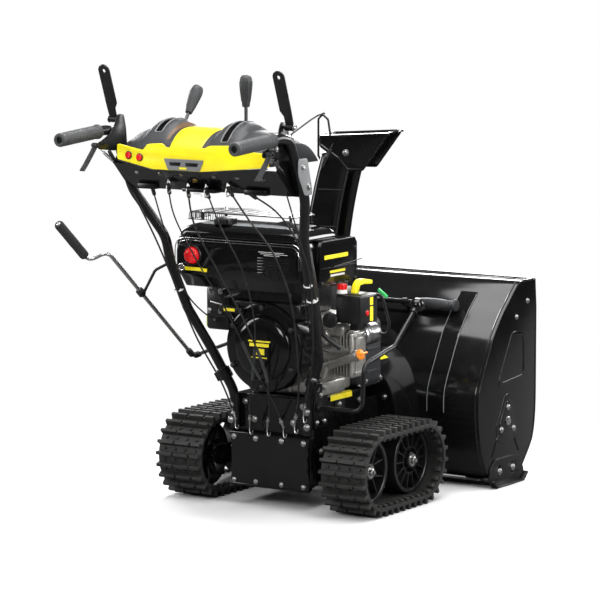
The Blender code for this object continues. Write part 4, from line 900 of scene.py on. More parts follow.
def cowl():
    """Cover over the flywheel end, with two chrome lines along its rim as painted highlights, a pressed
    panel and plain bars.
    """
    def ring(inset, radius, low_front=0.0):
        return soft_rect(-0.23 + inset, 0.165 - inset, -0.2185 + inset + low_front, -0.1465 - inset * 0.5,
                         radius)
    layers = [(0.575, ring(0.012, 0.012, 0.03)), (0.5765, ring(0.008, 0.016, 0.026)),
              (0.603, ring(0.004, 0.02, 0.01)), (0.618, ring(0.0005, 0.022)), (0.63, ring(0.0, 0.024)),
              (0.69, ring(0.0, 0.024)), (0.7, ring(0.001, 0.024)), (0.7055, ring(0.003, 0.024)),
              (0.708, ring(0.008, 0.022)), (0.7085, ring(0.014, 0.018))]
    body = stack(Shape(), layers)
    body.done("cowl_shell", LACQUER, "chassis", ["engine_cowl"], 40)
    # Painted highlights: two thin chrome lines stand in for the highlights on the cover's rounded upper rim.
    rim_highlights = Shape()
    for inset, radius in ((0.0, 0.0014), (0.0062, 0.001)):
        left, right, top = -0.227 + inset, 0.162 - inset, 0.706 - inset
        path = bent([(left, -0.2192, 0.626), (left, -0.2192, top), (right, -0.2192, top),
                     (right, -0.2192, 0.64)], 0.036, 12)
        rim_highlights.tube(path, radius, 10)
    rim_highlights.done("cowl_rim_painted_highlights", CHROME)
    panel = Shape()
    panel.sheet([rounded([(-0.215, 0.69), (0.148, 0.69), (0.148, 0.612), (0.07, 0.612), (0.05, 0.64),
                          (-0.06, 0.64), (-0.085, 0.612), (-0.215, 0.612)], 0.012)], 0.0026, "XZ",
                (0, -0.219, 0), 0.001, rounds=2)
    for i in range(6):
        z = 0.665 - i * 0.0075
        panel.block((0.03, -0.2216, z), (0.125, -0.2195, z + 0.0032), 0.001, 2)
    panel.done("cowl_rear_panel", LACQUER, smooth=40)
    marks = Shape()
    for i, (x0, x1) in enumerate(((0.034, 0.11), (0.04, 0.122), (0.05, 0.098))):
        marks.block((x0, -0.2212, 0.682 - i * 0.0042), (x1, -0.22, 0.6833 - i * 0.0042), 0.0003, 1)
    marks.done("plain_bars_on_cowl", LABEL_PALE)


def primer_and_key():
    """Red priming button in its bezel, and the key with its tag."""
    profile = [(0, 0.0275), (0.006, 0.027), (0.012, 0.0252), (0.0172, 0.0215), (0.02, 0.0175),
               (0.0206, 0.012), (0.0226, 0.0092), (0.023, 0.0065), (0.023, 0.0), (0, 0)]
    spot = (-0.172, -0.2115, 0.661)
    Shape().turn(profile, spot, BACKWARD, 48).done("primer_button", RED, "primer_bulb", ["primer_bulb"], 50)
    ring = Shape().ring([(0.0275, 0.0), (0.0285, -0.003), (0.0235, -0.003), (0.0235, 0.0022),
                         (0.0262, 0.0022)], (spot[0], -0.22, spot[2]), BACKWARD, 48)
    ring.done("primer_bezel", PLASTIC)
    key = Shape().tube([(-0.202, -0.206, 0.629), (-0.202, -0.2225, 0.629)], 0.004, 20)
    loop = [Vector((-0.202 + 0.0085 * math.cos(a), -0.2265, 0.629 + 0.0085 * math.sin(a)))
            for a in np.linspace(0, 2 * math.pi, 40)]
    key.tube(loop, 0.0022, 12)
    key.plug([(0.0052, 0.003), (0.006, 0.002), (0.006, 0)], (-0.202, -0.2225, 0.629), BACKWARD, 28)
    key.done("key_ring", CHROME, "ignition_key", ["ignition_key"])
    tag = Shape().block((-0.19, -0.229, 0.6225), (-0.135, -0.227, 0.6315), 0.0009, 2)
    tag.block((-0.137, -0.2288, 0.6205), (-0.121, -0.2272, 0.63), 0.0008, 2)
    tag.done("key_tag", YELLOW, "ignition_key")


def tank():
    """Fuel tank with its cap, a lighter grey layer over its top as a painted highlight, and the corrugated
    hose beside it.
    """
    def ring(inset, radius):
        return soft_rect(-0.222 + inset, 0.158 - inset, -0.2185 + inset * 0.9, -0.025 - inset * 0.9, radius)
    layers = [(0.7092, ring(0.006, 0.02)), (0.7105, ring(0.001, 0.026)), (0.713, ring(0.0, 0.028)),
              (0.719, ring(0.0008, 0.028)), (0.726, ring(0.005, 0.03)), (0.733, ring(0.013, 0.032)),
              (0.738, ring(0.023, 0.034)), (0.7408, ring(0.036, 0.032)), (0.742, ring(0.052, 0.026))]
    stack(Shape(), layers).done("tank_shell", LACQUER, "chassis", ["fuel_tank"], 50)
    # Painted highlight: a thin lighter grey layer over the tank's top, standing in for glare.
    top = stack(Shape(), [(0.7408, ring(0.0375, 0.031)), (0.7424, ring(0.05, 0.026)),
                          (0.7428, ring(0.056, 0.022))])
    top.done("tank_top_painted_highlight", TANK_TOP_PAINTED_HIGHLIGHT, smooth=50)
    cap = Shape().plug([(0.02, 0.0175), (0.025, 0.0165), (0.0276, 0.014), (0.0284, 0.01),
                        (0.0284, 0.0012), (0.0276, 0.0003)], (-0.1, -0.172, 0.7425), UP, 48)
    for a in spokes(24):
        cap.tube([(-0.1 + 0.0284 * math.cos(a), -0.172 + 0.0284 * math.sin(a), 0.7436),
                  (-0.1 + 0.0282 * math.cos(a), -0.172 + 0.0282 * math.sin(a), 0.756)], 0.0015, 6)
    cap.block((-0.1035, -0.192, 0.759), (-0.0965, -0.152, 0.7612), 0.0008, 2)
    cap.done("tank_cap", PLASTIC, "fuel_cap", ["fuel_cap"])
    hose = [(0.03, -0.12, 0.7425), (0.075, -0.145, 0.75), (0.125, -0.175, 0.738), (0.172, -0.205, 0.705),
            (0.198, -0.225, 0.655), (0.2, -0.212, 0.6), (0.18, -0.165, 0.53), (0.165, -0.12, 0.47),
            (0.2, -0.09, 0.43)]
    path = flow(hose, 40)
    radii = [0.0062 + 0.0008 * (i % 3 == 0) for i in range(len(path))]
    Shape().tube(path, 0.0062, 12, radii).done("corrugated_hose", CABLE, smooth=60)


def guard_plate():
    """Slotted heat guard above the tank, with the comb of wires at its rear and left."""
    outline = rounded([(-0.24, -0.138), (0.085, -0.138), (0.085, -0.03), (0.05, 0.0), (-0.19, 0.0),
                       (-0.24, -0.035)], 0.01)
    slots = []
    for i in range(9):
        x = -0.2 + i * 0.03
        slots.append(soft_rect(x, x + 0.004, -0.11, -0.045, 0.0018, 4))
    shape = Shape().sheet([outline] + slots, 0.003, "XY", (0, 0, 0.7635), 0.001, rounds=2)
    corners = ((-0.205, -0.125), (0.07, -0.125), (-0.195, -0.03), (0.07, -0.03))
    for x, y in corners:
        shape.plug([(0.004, 0.021), (0.004, 0.003), (0.007, 0.001), (0.007, 0)], (x, y, 0.7426), UP, 20)
    shape.done("heat_guard_plate", PLASTIC, "chassis", ["top_guard"])
    wires = Shape()
    for i in range(17):
        x = -0.238 + i * 0.0068
        wires.tube([(x, -0.137, 0.763), (x, -0.1385, 0.745)], 0.0009, 6)
    for i in range(15):
        y = -0.135 + i * 0.0068
        wires.tube([(-0.2395, y, 0.763), (-0.241, y, 0.744)], 0.0009, 6)
    wires.tube([(-0.2412, -0.1385, 0.745), (-0.125, -0.1385, 0.745)], 0.0011, 8)
    wires.tube([(-0.2412, -0.1385, 0.745), (-0.2412, -0.036, 0.744)], 0.0011, 8)
    wires.done("guard_wires", SATIN)
    bolts = Shape()
    for x, y in corners:
        bolts.bolt((x, y, 0.7652), UP, 0.0045)
    bolts.done("guard_bolts", CHROME)


def recoil():
    """Fan housing, glossy starter dome and the pull handle."""
    centre = (0, SHROUD_FOOT, CRANK_Z)
    profile = [(0.06, 0.0785), (0.1, 0.0785), (0.108, 0.078), (0.1145, 0.0755), (0.1175, 0.07),
               (0.118, 0.064), (0.118, 0.0), (0.115, 0.0), (0.115, 0.069), (0.107, 0.0755), (0.06, 0.0755)]
    shroud = Shape().ring(profile, centre, BACKWARD, 72)
    for a in spokes(6, 0.5):
        shroud.plug([(0.007, 0.0845), (0.0085, 0.083), (0.0095, 0.06)], (BOLT_CIRCLE * math.cos(a),
                    SHROUD_FOOT, CRANK_Z + BOLT_CIRCLE * math.sin(a)), BACKWARD, 24)
    shroud.done("fan_housing", PAINT, "chassis", ["fan_shroud"], 40)
    dome = [(0, 0.0172), (0.038, 0.0171), (0.056, 0.0166), (0.064, 0.0158), (0.07, 0.0146), (0.077, 0.012),
            (0.0825, 0.008), (0.0852, 0.004), (0.086, 0.0), (0.083, 0.0), (0.08, 0.0075), (0.068, 0.012),
            (0, 0.014)]
    cover = Shape().turn(dome, (0, -0.1503, CRANK_Z), BACKWARD, 72)
    cover.done("recoil_dome", LACQUER, "chassis", ["recoil_cover"], 40)
    bolts = Shape()
    for a in spokes(6, 0.5):
        bolts.bolt((BOLT_CIRCLE * math.cos(a), -0.1562, CRANK_Z + BOLT_CIRCLE * math.sin(a)), BACKWARD,
                   0.005)
    bolts.done("recoil_bolts", DARK_STEEL)
    label = Shape()
    for x0, x1, z0, z1 in ((-0.034, 0.034, 0.441, 0.445), (-0.03, 0.03, 0.429, 0.4375),
                           (-0.016, 0.016, 0.408, 0.424), (-0.024, 0.024, 0.399, 0.402)):
        label.block((x0, -0.1682, z0), (x1, -0.1672, z1), 0.0003, 1)
    label.done("plain_bars_on_recoil", LABEL)
    y, z = -0.172, 0.5215
    profile = [(0, 0.072), (0.006, 0.0716), (0.0088, 0.0695), (0.0095, 0.065), (0.009, 0.036),
               (0.0095, 0.007), (0.0088, 0.0025), (0.006, 0.0004), (0, 0)]
    handle = Shape().turn(profile, (-0.119, y, z), RIGHT, 32)
    handle.plug([(0.0045, 0.018), (0.007, 0.004), (0.008, 0)], (-0.083, y, z), FORWARD, 24)
    for i in range(4):
        handle.ring([(0.0098, 0.001), (0.0098, -0.001), (0.0088, -0.001), (0.0088, 0.001)],
                    (-0.107 + i * 0.016, y, z), RIGHT, 28)
    handle.done("recoil_grip", PLASTIC, "recoil_handle", ["recoil_handle"])
    Shape().block((-0.1, -0.183, 0.5175), (-0.066, -0.1812, 0.525), 0.0006, 2).done(
        "recoil_tag", LABEL, "recoil_handle")


def casting():
    """Crankcase, finned cylinder, head, filler tube, manifold and starter motor."""
    block = Shape().block((-0.105, -0.07, 0.2935), (0.11, 0.11, 0.5), 0.014, 5)
    block.tube([(0.1, -0.002, 0.405), (0.188, -0.002, 0.405)], 0.034, 40)
    for i in range(8):
        block.sheet([soft_rect(-0.034, 0.035, 0.345, 0.467, 0.014)], 0.003, "YZ",
                    (0.118 + 0.0092 * i, 0, 0), 0.0009, rounds=2)
    block.block((0.1865, -0.034, 0.345), (0.201, 0.034, 0.465), 0.008, 4)
    block.block((0.199, -0.024, 0.358), (0.2035, 0.024, 0.452), 0.006, 3)
    block.tube([(0.1, -0.047, 0.361), FILLER_END], 0.011, 24)
    block.plug([(0.0142, 0.01), (0.0152, 0.008), (0.0152, 0.002), (0.0142, 0)],
               FILLER_END - FILLER_WAY * 0.012, FILLER_WAY, 28)
    block.tube(bent([(0.1, -0.058, 0.33), (0.128, -0.06, 0.345), (0.134, -0.056, 0.372)], 0.01, 5), 0.0085,
               16)
    for z in (0.325, 0.372, 0.419, 0.466):
        block.block((-0.1, -0.0745, z), (0.106, -0.068, z + 0.006), 0.0015, 2)
    for x in (-0.085, -0.035, 0.035, 0.09):
        block.block((x - 0.003, -0.0745, 0.3), (x + 0.003, -0.068, 0.494), 0.0015, 2)
    block.block((0.1, -0.066, 0.294), (0.128, 0.05, 0.334), 0.007, 3)
    block.block((0.104, -0.06, 0.33), (0.122, 0.02, 0.356), 0.006, 3)
    block.block((0.112, -0.042, 0.452), (0.176, 0.03, 0.486), 0.01, 3)
    block.block((0.104, -0.064, 0.43), (0.14, -0.03, 0.47), 0.009, 3)
    block.tube([(0.118, -0.072, 0.452), (0.118, -0.02, 0.452)], 0.014, 24)
    block.tube([(0.15, -0.05, 0.44), (0.15, 0.0, 0.44)], 0.011, 20)
    block.tube(flow([(0.148, 0.03, 0.47), (0.153, 0.018, 0.5), (0.15, 0.0, 0.55), (0.15, 0.0, 0.602)], 6),
               0.0125, 24)
    block.done("engine_castings", CASTING, "chassis", ["crankcase", "muffler"])
    bolts = Shape()
    for y, z in ((-0.022, 0.358), (0.022, 0.358), (-0.022, 0.452), (0.022, 0.452)):
        bolts.bolt((0.2012, y, z), RIGHT, 0.005)
    for y in (-0.045, -0.01, 0.03):
        bolts.bolt((0.118, y, 0.3342), UP, 0.0046)
    for x, z in ((0.098, 0.318), (0.098, 0.486), (-0.094, 0.318), (-0.094, 0.486)):
        bolts.bolt((x, -0.0745, z), BACKWARD, 0.0048)
    bolts.bolt((0.118, -0.0725, 0.452), BACKWARD, 0.007)
    bolts.bolt((0.1285, -0.055, 0.318), RIGHT, 0.005)
    bolts.done("engine_bolts", ZINC)
    can = Shape().block((0.092, -0.13, 0.6), (0.163, 0.02, 0.7), 0.026, 6)
    can.done("muffler_can", STEEL)
    profile = [(0.0, 0.08), (0.01, 0.08), (0.0135, 0.079), (0.014, 0.0745), (0.022, 0.0735), (0.0265, 0.07),
               (0.0288, 0.064), (0.029, 0.056), (0.029, 0.014), (0.028, 0.008), (0.024, 0.003), (0.0, 0.0)]
    dome = Shape().turn(profile, (0.176, 0.038, 0.4475), FORWARD, 48)
    dome.ring([(0.03, 0.0025), (0.03, -0.0025), (0.0285, -0.0025), (0.0285, 0.0025)], (0.176, 0.06, 0.4475),
              FORWARD, 48)
    dome.done("starter_motor_can", STEEL, "chassis", ["starter_motor"], 40)


def muffler_cover():
    """Bent sheet box over the muffler: a creased right face with plain bars, and a vented top."""
    y0, y1, low, top, face = -0.145, 0.0316, 0.59, 0.7085, 0.172
    cover = Shape()
    outline = rounded([(y0, 0.695), (y0 + 0.01, top), (y1 - 0.012, top), (y1, 0.693), (y1, low), (y0, low)],
                      0.005)
    holes = [soft_rect(y0 + 0.03 + 0.03 * i, y0 + 0.048 + 0.03 * i, 0.5955, 0.5995, 0.0018, 3) for i in
             range(4)]
    cover.sheet([outline] + holes, 0.002, "YZ", (face - 0.001, 0, 0), 0.0008, rounds=2)
    cover.sheet([outline], 0.002, "YZ", (0.081, 0, 0), 0.0008, rounds=2)
    cover.block((0.08, y0, low), (face, y0 + 0.002, 0.697), 0.0008, 2)
    cover.block((0.08, y1 - 0.002, low), (face, y1, 0.695), 0.0008, 2)
    cover.block((0.08, y0 + 0.009, top - 0.002), (face, y1 - 0.011, top), 0.0008, 2)
    for a, b, z_a, z_b in ((y0 + 0.0005, y0 + 0.011, 0.695, 0.7078),
                           (y1 - 0.013, y1 - 0.0005, 0.7078, 0.6935)):
        cover.sheet([[(a, z_a), (b, z_b), (b, z_b - 0.002), (a, z_a - 0.002)]], 0.09, "YZ", (0.126, 0, 0),
                    0.0003)
    cover.done("muffler_cover", PAINT, "chassis", ["muffler_guard"])
    edge = Shape()
    edge.sheet([[(y0 + 0.001, 0.6375), (y1 - 0.001, 0.6375), (y1 - 0.001, 0.6395), (y0 + 0.001, 0.6395)]],
               0.003, "YZ", (face, 0, 0), 0.0008)
    edge.tube(bent([(face, y0 + 0.001, 0.696), (face, y0 + 0.01, 0.7075), (face, y1 - 0.012, 0.7075),
                    (face, y1 - 0.001, 0.693), (face, y1 - 0.001, 0.592)], 0.004, 4), 0.0012, 8)
    edge.done("muffler_cover_crease", SATIN)
    bars = Shape()
    bars.block((face, -0.125, 0.661), (face + 0.001, -0.012, 0.6715), 0.0003, 1)
    bars.block((face, -0.0985, 0.624), (face + 0.001, -0.0255, 0.6305), 0.0003, 1)
    bars.done("plain_yellow_bars", LABEL)
    Shape().block((face, -0.096, 0.615), (face + 0.001, -0.028, 0.62), 0.0003, 1).done(
        "plain_grey_bar", LABEL_PALE)
    rod = Shape().tube([(0.18, -0.09, 0.641), (0.18, 0.044, 0.6495)], 0.0012, 10)
    rod.tube([(0.172, -0.09, 0.641), (0.18, -0.09, 0.641)], 0.0012, 8)
    rod.done("governor_rod", DARK_STEEL)
    bolts = Shape()
    for y, z in ((y0 + 0.01, 0.6), (y1 - 0.008, 0.6), (y1 - 0.008, 0.68)):
        bolts.bolt((face + 0.0002, y, z), RIGHT, 0.0038)
    bolts.done("muffler_cover_bolts", DARK_STEEL)


def starter():
    """Electric starter box with its button, red cap, yellow flap, breather and cable."""
    body = Shape().block((0.172, -0.072, 0.493), (0.25, 0.011, 0.567), 0.0055, 4)
    body.block((0.1765, -0.0735, 0.498), (0.24, -0.0712, 0.562), 0.0012, 2)
    body.block((0.18, -0.06, 0.566), (0.242, 0.0, 0.569), 0.0012, 2)
    body.tube(flow([(0.205, 0.006, 0.505), (0.195, 0.03, 0.48), (0.185, 0.06, 0.47)], 6), 0.01, 16)
    body.block((0.19, -0.03, 0.47), (0.214, 0.0, 0.495), 0.002, 2)
    body.done("starter_housing", PLASTIC, "chassis", ["starter_box"])
    button = Shape().plug([(0.004, 0.0075), (0.006, 0.0068), (0.0065, 0.0055), (0.0065, 0)],
                          (0.246, -0.043, 0.521), RIGHT, 28)
    button.done("starter_push", RED, "starter_button", ["starter_button"])
    Shape().ring([(0.0088, 0.0006), (0.0092, -0.0006), (0.007, -0.0006), (0.007, 0.0006)],
                 (0.2503, -0.043, 0.521), RIGHT, 28).done("starter_button_rim", DARK_STEEL)
    strip = Shape().block((0.25, -0.029, 0.4985), (0.2508, -0.014, 0.536), 0.0002, 1)
    strip.block((0.25, -0.029, 0.54), (0.2508, -0.014, 0.56), 0.0002, 1)
    strip.done("plain_strip_on_starter", LABEL)
    base = Shape().plug([(0.012, 0.01), (0.013, 0.0085), (0.014, 0)], (0.184, -0.058, 0.569), UP, 32)
    base.block((0.176, -0.036, 0.5688), (0.186, -0.014, 0.584), 0.002, 2)
    base.done("primer_cap_base", LABEL_PALE)
    knob = Shape().plug([(0.008, 0.015), (0.0105, 0.0135), (0.0112, 0.01), (0.0112, 0)],
                        (0.184, -0.058, 0.579), UP, 32)
    for a in spokes(8):
        knob.tube([(0.184 + 0.0112 * math.cos(a), -0.058 + 0.0112 * math.sin(a), 0.5795),
                   (0.184 + 0.0108 * math.cos(a), -0.058 + 0.0108 * math.sin(a), 0.592)], 0.002, 8)
    knob.done("red_cap", RED)
    flap = Shape()
    flap.sheet([rounded([(-0.042, 0.568), (-0.024, 0.568), (-0.016, 0.5865), (0.004, 0.5885),
                         (0.044, 0.585), (0.045, 0.595), (0.0, 0.603), (-0.02, 0.6015), (-0.034, 0.59)],
                        0.004)], 0.014, "YZ", (0.206, 0, 0), 0.0014, rounds=2)
    flap.done("yellow_flap", YELLOW)
    breather = Shape().plug([(0.015, 0.016), (0.019, 0.0135), (0.0205, 0.009), (0.0205, 0.002), (0.018, 0)],
                            (0.158, -0.072, 0.5), (0.35, -0.94, 0.0), 40)
    breather.ring([(0.016, 0.0172), (0.016, 0.0158), (0.0135, 0.0158), (0.0135, 0.0172)],
                  (0.158, -0.072, 0.5), (0.35, -0.94, 0.0), 40)
    breather.done("breather_cap", PLASTIC)
    loop = flow([(0.236, 0.004, 0.566), (0.248, 0.03, 0.556), (0.251, 0.048, 0.52), (0.248, 0.07, 0.478),
                 (0.23, 0.088, 0.452), (0.2, 0.098, 0.448)], 12)
    Shape().tube(loop, 0.0036, 12).done("starter_cable", CABLE)
    Shape().block((-0.016, -0.0035, -0.004), (0.016, 0.0035, 0.004), 0.0012, 2, Matrix.Translation((0.2585,
                  0.02, 0.566)) @ Matrix.Rotation(math.radians(35), 4, "Y")).done("green_cable_tag", GREEN)


def small_engine_parts():
    """Air filter box, linkage, control bracket, dipstick cap and belt guard."""
    air = Shape().block((-0.2, -0.12, 0.455), (-0.125, 0.0, 0.57), 0.01, 5)
    air.block((-0.192, -0.1235, 0.5), (-0.134, -0.118, 0.56), 0.0025, 2)
    air.tube([(-0.13, -0.03, 0.47), (-0.1055, -0.03, 0.47)], 0.02, 32)
    for i in range(5):
        air.block((-0.202, -0.105 + i * 0.02, 0.48), (-0.199, -0.098 + i * 0.02, 0.548), 0.001, 2)
    air.done("air_filter_box", PLASTIC, "chassis", ["carburettor"])
    Shape().block((-0.2028, -0.112, 0.462), (-0.2, -0.086, 0.49), 0.0004, 1).done("lime_label", LABEL_GREEN)
    metal = Shape()
    for x, y, z in ((-0.15, -0.124, 0.558), (-0.185, -0.124, 0.558), (-0.15, -0.124, 0.506),
                    (-0.185, -0.124, 0.506)):
        metal.bolt((x, y, z), BACKWARD, 0.005)
    metal.tube(flow([(-0.15, -0.13, 0.56), (-0.11, -0.15, 0.574), (-0.08, -0.165, 0.585),
                     (-0.05, -0.168, 0.59)], 6), 0.0016, 8)
    metal.tube(flow([(-0.18, -0.126, 0.53), (-0.13, -0.13, 0.52), (-0.105, -0.13, 0.49)], 6), 0.0016, 8)
    metal.coil((-0.13, -0.132, 0.545), (-0.07, -0.15, 0.563), 0.0034, 0.0008, 12)
    metal.plug([(0.0058, 0.012), (0.0066, 0.01), (0.0066, 0)], (-0.16, -0.125, 0.485), BACKWARD, 6)
    metal.done("carburettor_linkage", ZINC)
    bracket = Shape()
    bracket.sheet([rounded([(-0.12, 0.545), (0.06, 0.545), (0.06, 0.5595), (0.02, 0.5745), (-0.12, 0.5745)],
                           0.004)], 0.003, "XZ", (0, -0.128, 0), 0.0008)
    bracket.sheet([rounded([(0.02, 0.53), (0.1, 0.536), (0.1, 0.574), (0.02, 0.574)], 0.006)], 0.003, "XZ",
                  (0, -0.118, 0), 0.0008)
    bracket.block((-0.1, -0.14, 0.5), (0.105, -0.07, 0.545), 0.01, 3)
    bracket.block((-0.06, -0.13, 0.5), (0.07, 0.08, 0.6), 0.012, 3)
    bracket.block((-0.185, -0.144, 0.59), (0.074, -0.035, 0.706), 0.012, 3)
    bracket.done("control_bracket", SATIN)
    along, foot = FILLER_WAY, FILLER_END + FILLER_WAY * 0.0008
    matrix = Matrix.Translation(foot) @ aim(along)
    cap = Shape().plug([(0.01, 0.0105), (0.013, 0.009), (0.014, 0.0065), (0.014, 0.002),
                        (0.012, 0)], foot, along, 36)
    cap.block((-0.014, -0.0028, 0.006), (0.014, 0.0028, 0.02), 0.0024, 4, matrix)
    cap.done("dipstick_wing_cap", ORANGE, "oil_dipstick", ["oil_dipstick"])
    cover = Shape().block((-0.1, 0.1135, 0.2915), (0.14, 0.2215, 0.478), 0.024, 6)
    for i in range(4):
        z = 0.33 + i * 0.03
        cover.block((0.1385, 0.135, z), (0.1415, 0.2, z + 0.01), 0.0014, 2)
        cover.block((-0.1015, 0.135, z), (-0.0985, 0.2, z + 0.01), 0.0014, 2)
    cover.block((-0.08, 0.13, 0.4765), (0.12, 0.205, 0.48), 0.0015, 2)
    cover.done("belt_guard", CHARCOAL, "chassis", ["belt_cover"])
    screws = Shape()
    for x, y in ((-0.085, 0.12), (0.125, 0.12), (-0.085, 0.214), (0.125, 0.214)):
        screws.bolt((x, y, 0.299), UP, 0.0042)
    for y in (0.13, 0.205):
        screws.bolt((0.1405, y, 0.312), RIGHT, 0.0046)
        screws.bolt((-0.1005, y, 0.312), LEFT, 0.0046)
    screws.done("belt_guard_screws", ZINC)
    repaint(STEEL, "crankshaft", "impeller_shaft", "auger_shaft")


# ---------------------------------------------------------------- transmission case
def case_details():
    """Flanges, bolts and label of the case, and the height lever's quadrant."""
    repaint(PAINT, "transmission_case", "rear_cover", "scraper_bar", "track_frame_left",
            "track_frame_right", "impeller")
    folds = Shape()
    folds.block((-0.1215, -0.1, 0.285), (0.1215, 0.14, 0.2912), 0.0012, 2)
    folds.block((-0.124, -0.124, 0.184), (0.124, -0.097, 0.1915), 0.0012, 2)
    folds.block((-0.124, -0.1238, 0.05), (0.124, -0.118, 0.056), 0.001, 2)
    for s in (-1, 1):
        folds.sheet([rounded([(-0.11, 0.19), (-0.098, 0.29), (-0.088, 0.29), (-0.088, 0.06), (-0.11, 0.06)],
                             0.006)], 0.003, "YZ", (s * 0.12, 0, 0), 0.0008)
        folds.sheet([rounded([(0.01, 0.286), (0.15, 0.286), (0.15, 0.235), (0.12, 0.205), (0.04, 0.205),
                              (0.01, 0.235)], 0.012)], 0.003, "YZ", (s * 0.1196, 0, 0), 0.001, rounds=2)
        folds.plug([(0.0215, 0.0665), (0.0235, 0.064), (0.0235, 0.003), (0.03, 0.001),
                    (0.03, 0)], (s * 0.119, 0.141, 0.1125), (s, 0, 0), 40)
    folds.done("case_flanges", PAINT)
    bolts = Shape()
    for x in (-0.108, -0.04, 0.04, 0.108):
        bolts.bolt((x, -0.1242, 0.179), BACKWARD, 0.0052)
        bolts.bolt((x, -0.124, 0.064), BACKWARD, 0.0046)
    for s in (-1, 1):
        for y, z in ((-0.06, 0.262), (-0.06, 0.15), (0.03, 0.262), (0.13, 0.262), (0.03, 0.09),
                     (0.1, 0.07)):
            bolts.bolt((s * 0.1212, y, z), (s, 0, 0), 0.0056)
        for a in range(4):
            t = math.radians(45 + 90 * a)
            bolts.bolt((s * 0.12, 0.141 + 0.036 * math.cos(t), 0.1125 + 0.036 * math.sin(t)), (s, 0, 0),
                       0.0044)
        bolts.bolt((s * 0.09, -0.0985, 0.27), BACKWARD, 0.0058)
        bolts.bolt((s * 0.06, -0.0985, 0.225), BACKWARD, 0.0058)
    bolts.done("case_bolts", ZINC)
    label = Shape().block((0.1215, -0.015, 0.276), (0.1223, 0.09, 0.29), 0.0002, 1)
    label.block((0.112, -0.015, 0.2912), (0.1215, 0.09, 0.292), 0.0002, 1)
    label.done("plain_label_on_case", LABEL)
    quadrant = Shape()
    quadrant.sheet([rounded([(-0.1, 0.215), (-0.04, 0.215), (-0.03, 0.262), (-0.046, 0.33), (-0.092, 0.33),
                             (-0.104, 0.262)], 0.008)], 0.003, "YZ", (0.1255, 0, 0), 0.0008)
    quadrant.block((0.121, -0.085, 0.222), (0.127, -0.055, 0.252), 0.001, 2)
    quadrant.done("height_quadrant", SATIN)
    more = Shape()
    for y, z in ((-0.088, 0.23), (-0.052, 0.23), (-0.07, 0.3), (-0.086, 0.318), (-0.056, 0.318)):
        more.bolt((0.1272, y, z), RIGHT, 0.0048)
    more.done("quadrant_bolts", ZINC)


def height_lever_look():
    """Bent rod with a ball on its end."""
    x, y, z = 0.264, -0.088, 0.27
    steps = [(0.0, 0.0), (0.008, 0.122), (0.157, 0.152), (0.27, 0.245)]
    corners = [(0.1215, y, z)] + [(x, y + a, z + b) for a, b in steps]
    rod = Shape().tube(bent(corners, 0.03, 10), 0.006, 20)
    rod.plug([(0.0105, 0.01), (0.0115, 0.008), (0.0115, 0)], (0.129, y, z), RIGHT, 28)
    rod.plug([(0.0085, 0.016), (0.0095, 0.012), (0.0095, 0)], (x, y + 0.2515, z + 0.2298),
             (0, 0.77, 0.64), 28)
    rod.done("height_lever_rod", SATIN, "height_lever", ["height_lever"])
    ball = [(0.0195 * math.sin(a), -0.0195 * math.cos(a)) for a in np.linspace(0, math.pi, 25)]
    ball = [(max(r, 0.0) if 0 < i < 24 else 0.0, h) for i, (r, h) in enumerate(ball)]
    Shape().turn(ball[::-1], (x, y + 0.272, z + 0.247), (0, 0.77, 0.64), 48).done(
        "height_lever_knob", LACQUER, "height_lever", smooth=60)


# ---------------------------------------------------------------- auger housing
AUGER_Y, AUGER_Z, AUGER_R = 0.509, 0.172, 0.145
IMPELLER_Z, DRUM_R, DRUM_BACK = 0.2, 0.172, 0.225
HOUSING_HALF = 0.3555
CHUTE_X, CHUTE_Y, RING_Z = -0.105, 0.305, 0.4215
BACK = [(0.655, 0.544), (0.616, 0.5448), (0.5775, 0.544), (0.545, 0.522), (0.515, 0.495), (0.484, 0.468),
        (0.4565, 0.438), (0.436, 0.413), (0.42, 0.387), (0.3905, 0.334), (0.367, 0.291), (0.3545, 0.256),
        (0.353, 0.215), (0.3565, 0.173), (0.3655, 0.128), (0.3785, 0.087), (0.4085, 0.04), (0.4635, 0.013)]


def smooth_profile(points, steps=5):
    """A (y, z) curve through the points."""
    return [(p.y, p.z) for p in flow([(0, y, z) for y, z in points], steps)]


def offset(profile, depth):
    """The (y, z) curve moved sideways by the depth."""
    moved = []
    for i, (y, z) in enumerate(profile):
        before, after = profile[max(0, i - 1)], profile[min(len(profile) - 1, i + 1)]
        run = Vector((after[0] - before[0], after[1] - before[1])).normalized()
        moved.append((y - run.y * depth, z + run.x * depth))
    return moved


def as_object(shape, name):
    """The shape as a plain object that rides on nothing yet."""
    return placed(name, mesh_from(shape.bm, name))


def carve(shape, *tools):
    """The shape with the tool shapes cut out of it."""
    base = as_object(shape, "base")
    cutters = [as_object(tool, "cutter") for tool in tools]
    for cutter in cutters:
        step = base.modifiers.new("cut", "BOOLEAN")
        step.operation = "DIFFERENCE"
        step.solver = "EXACT"
        step.object = cutter
    bpy.context.view_layer.update()
    mesh = bpy.data.meshes.new_from_object(base.evaluated_get(bpy.context.evaluated_depsgraph_get()))
    out = Shape()
    out.bm.from_mesh(mesh)
    for used in [base] + cutters:
        bpy.data.objects.remove(used)
    return out


def disc(start, end, radius, steps=72):
    """A round bar between two points."""
    start, end = Vector(start), Vector(end)
    length = (end - start).length
    return Shape().plug([(radius, length), (radius, 0)], start, end - start, steps)


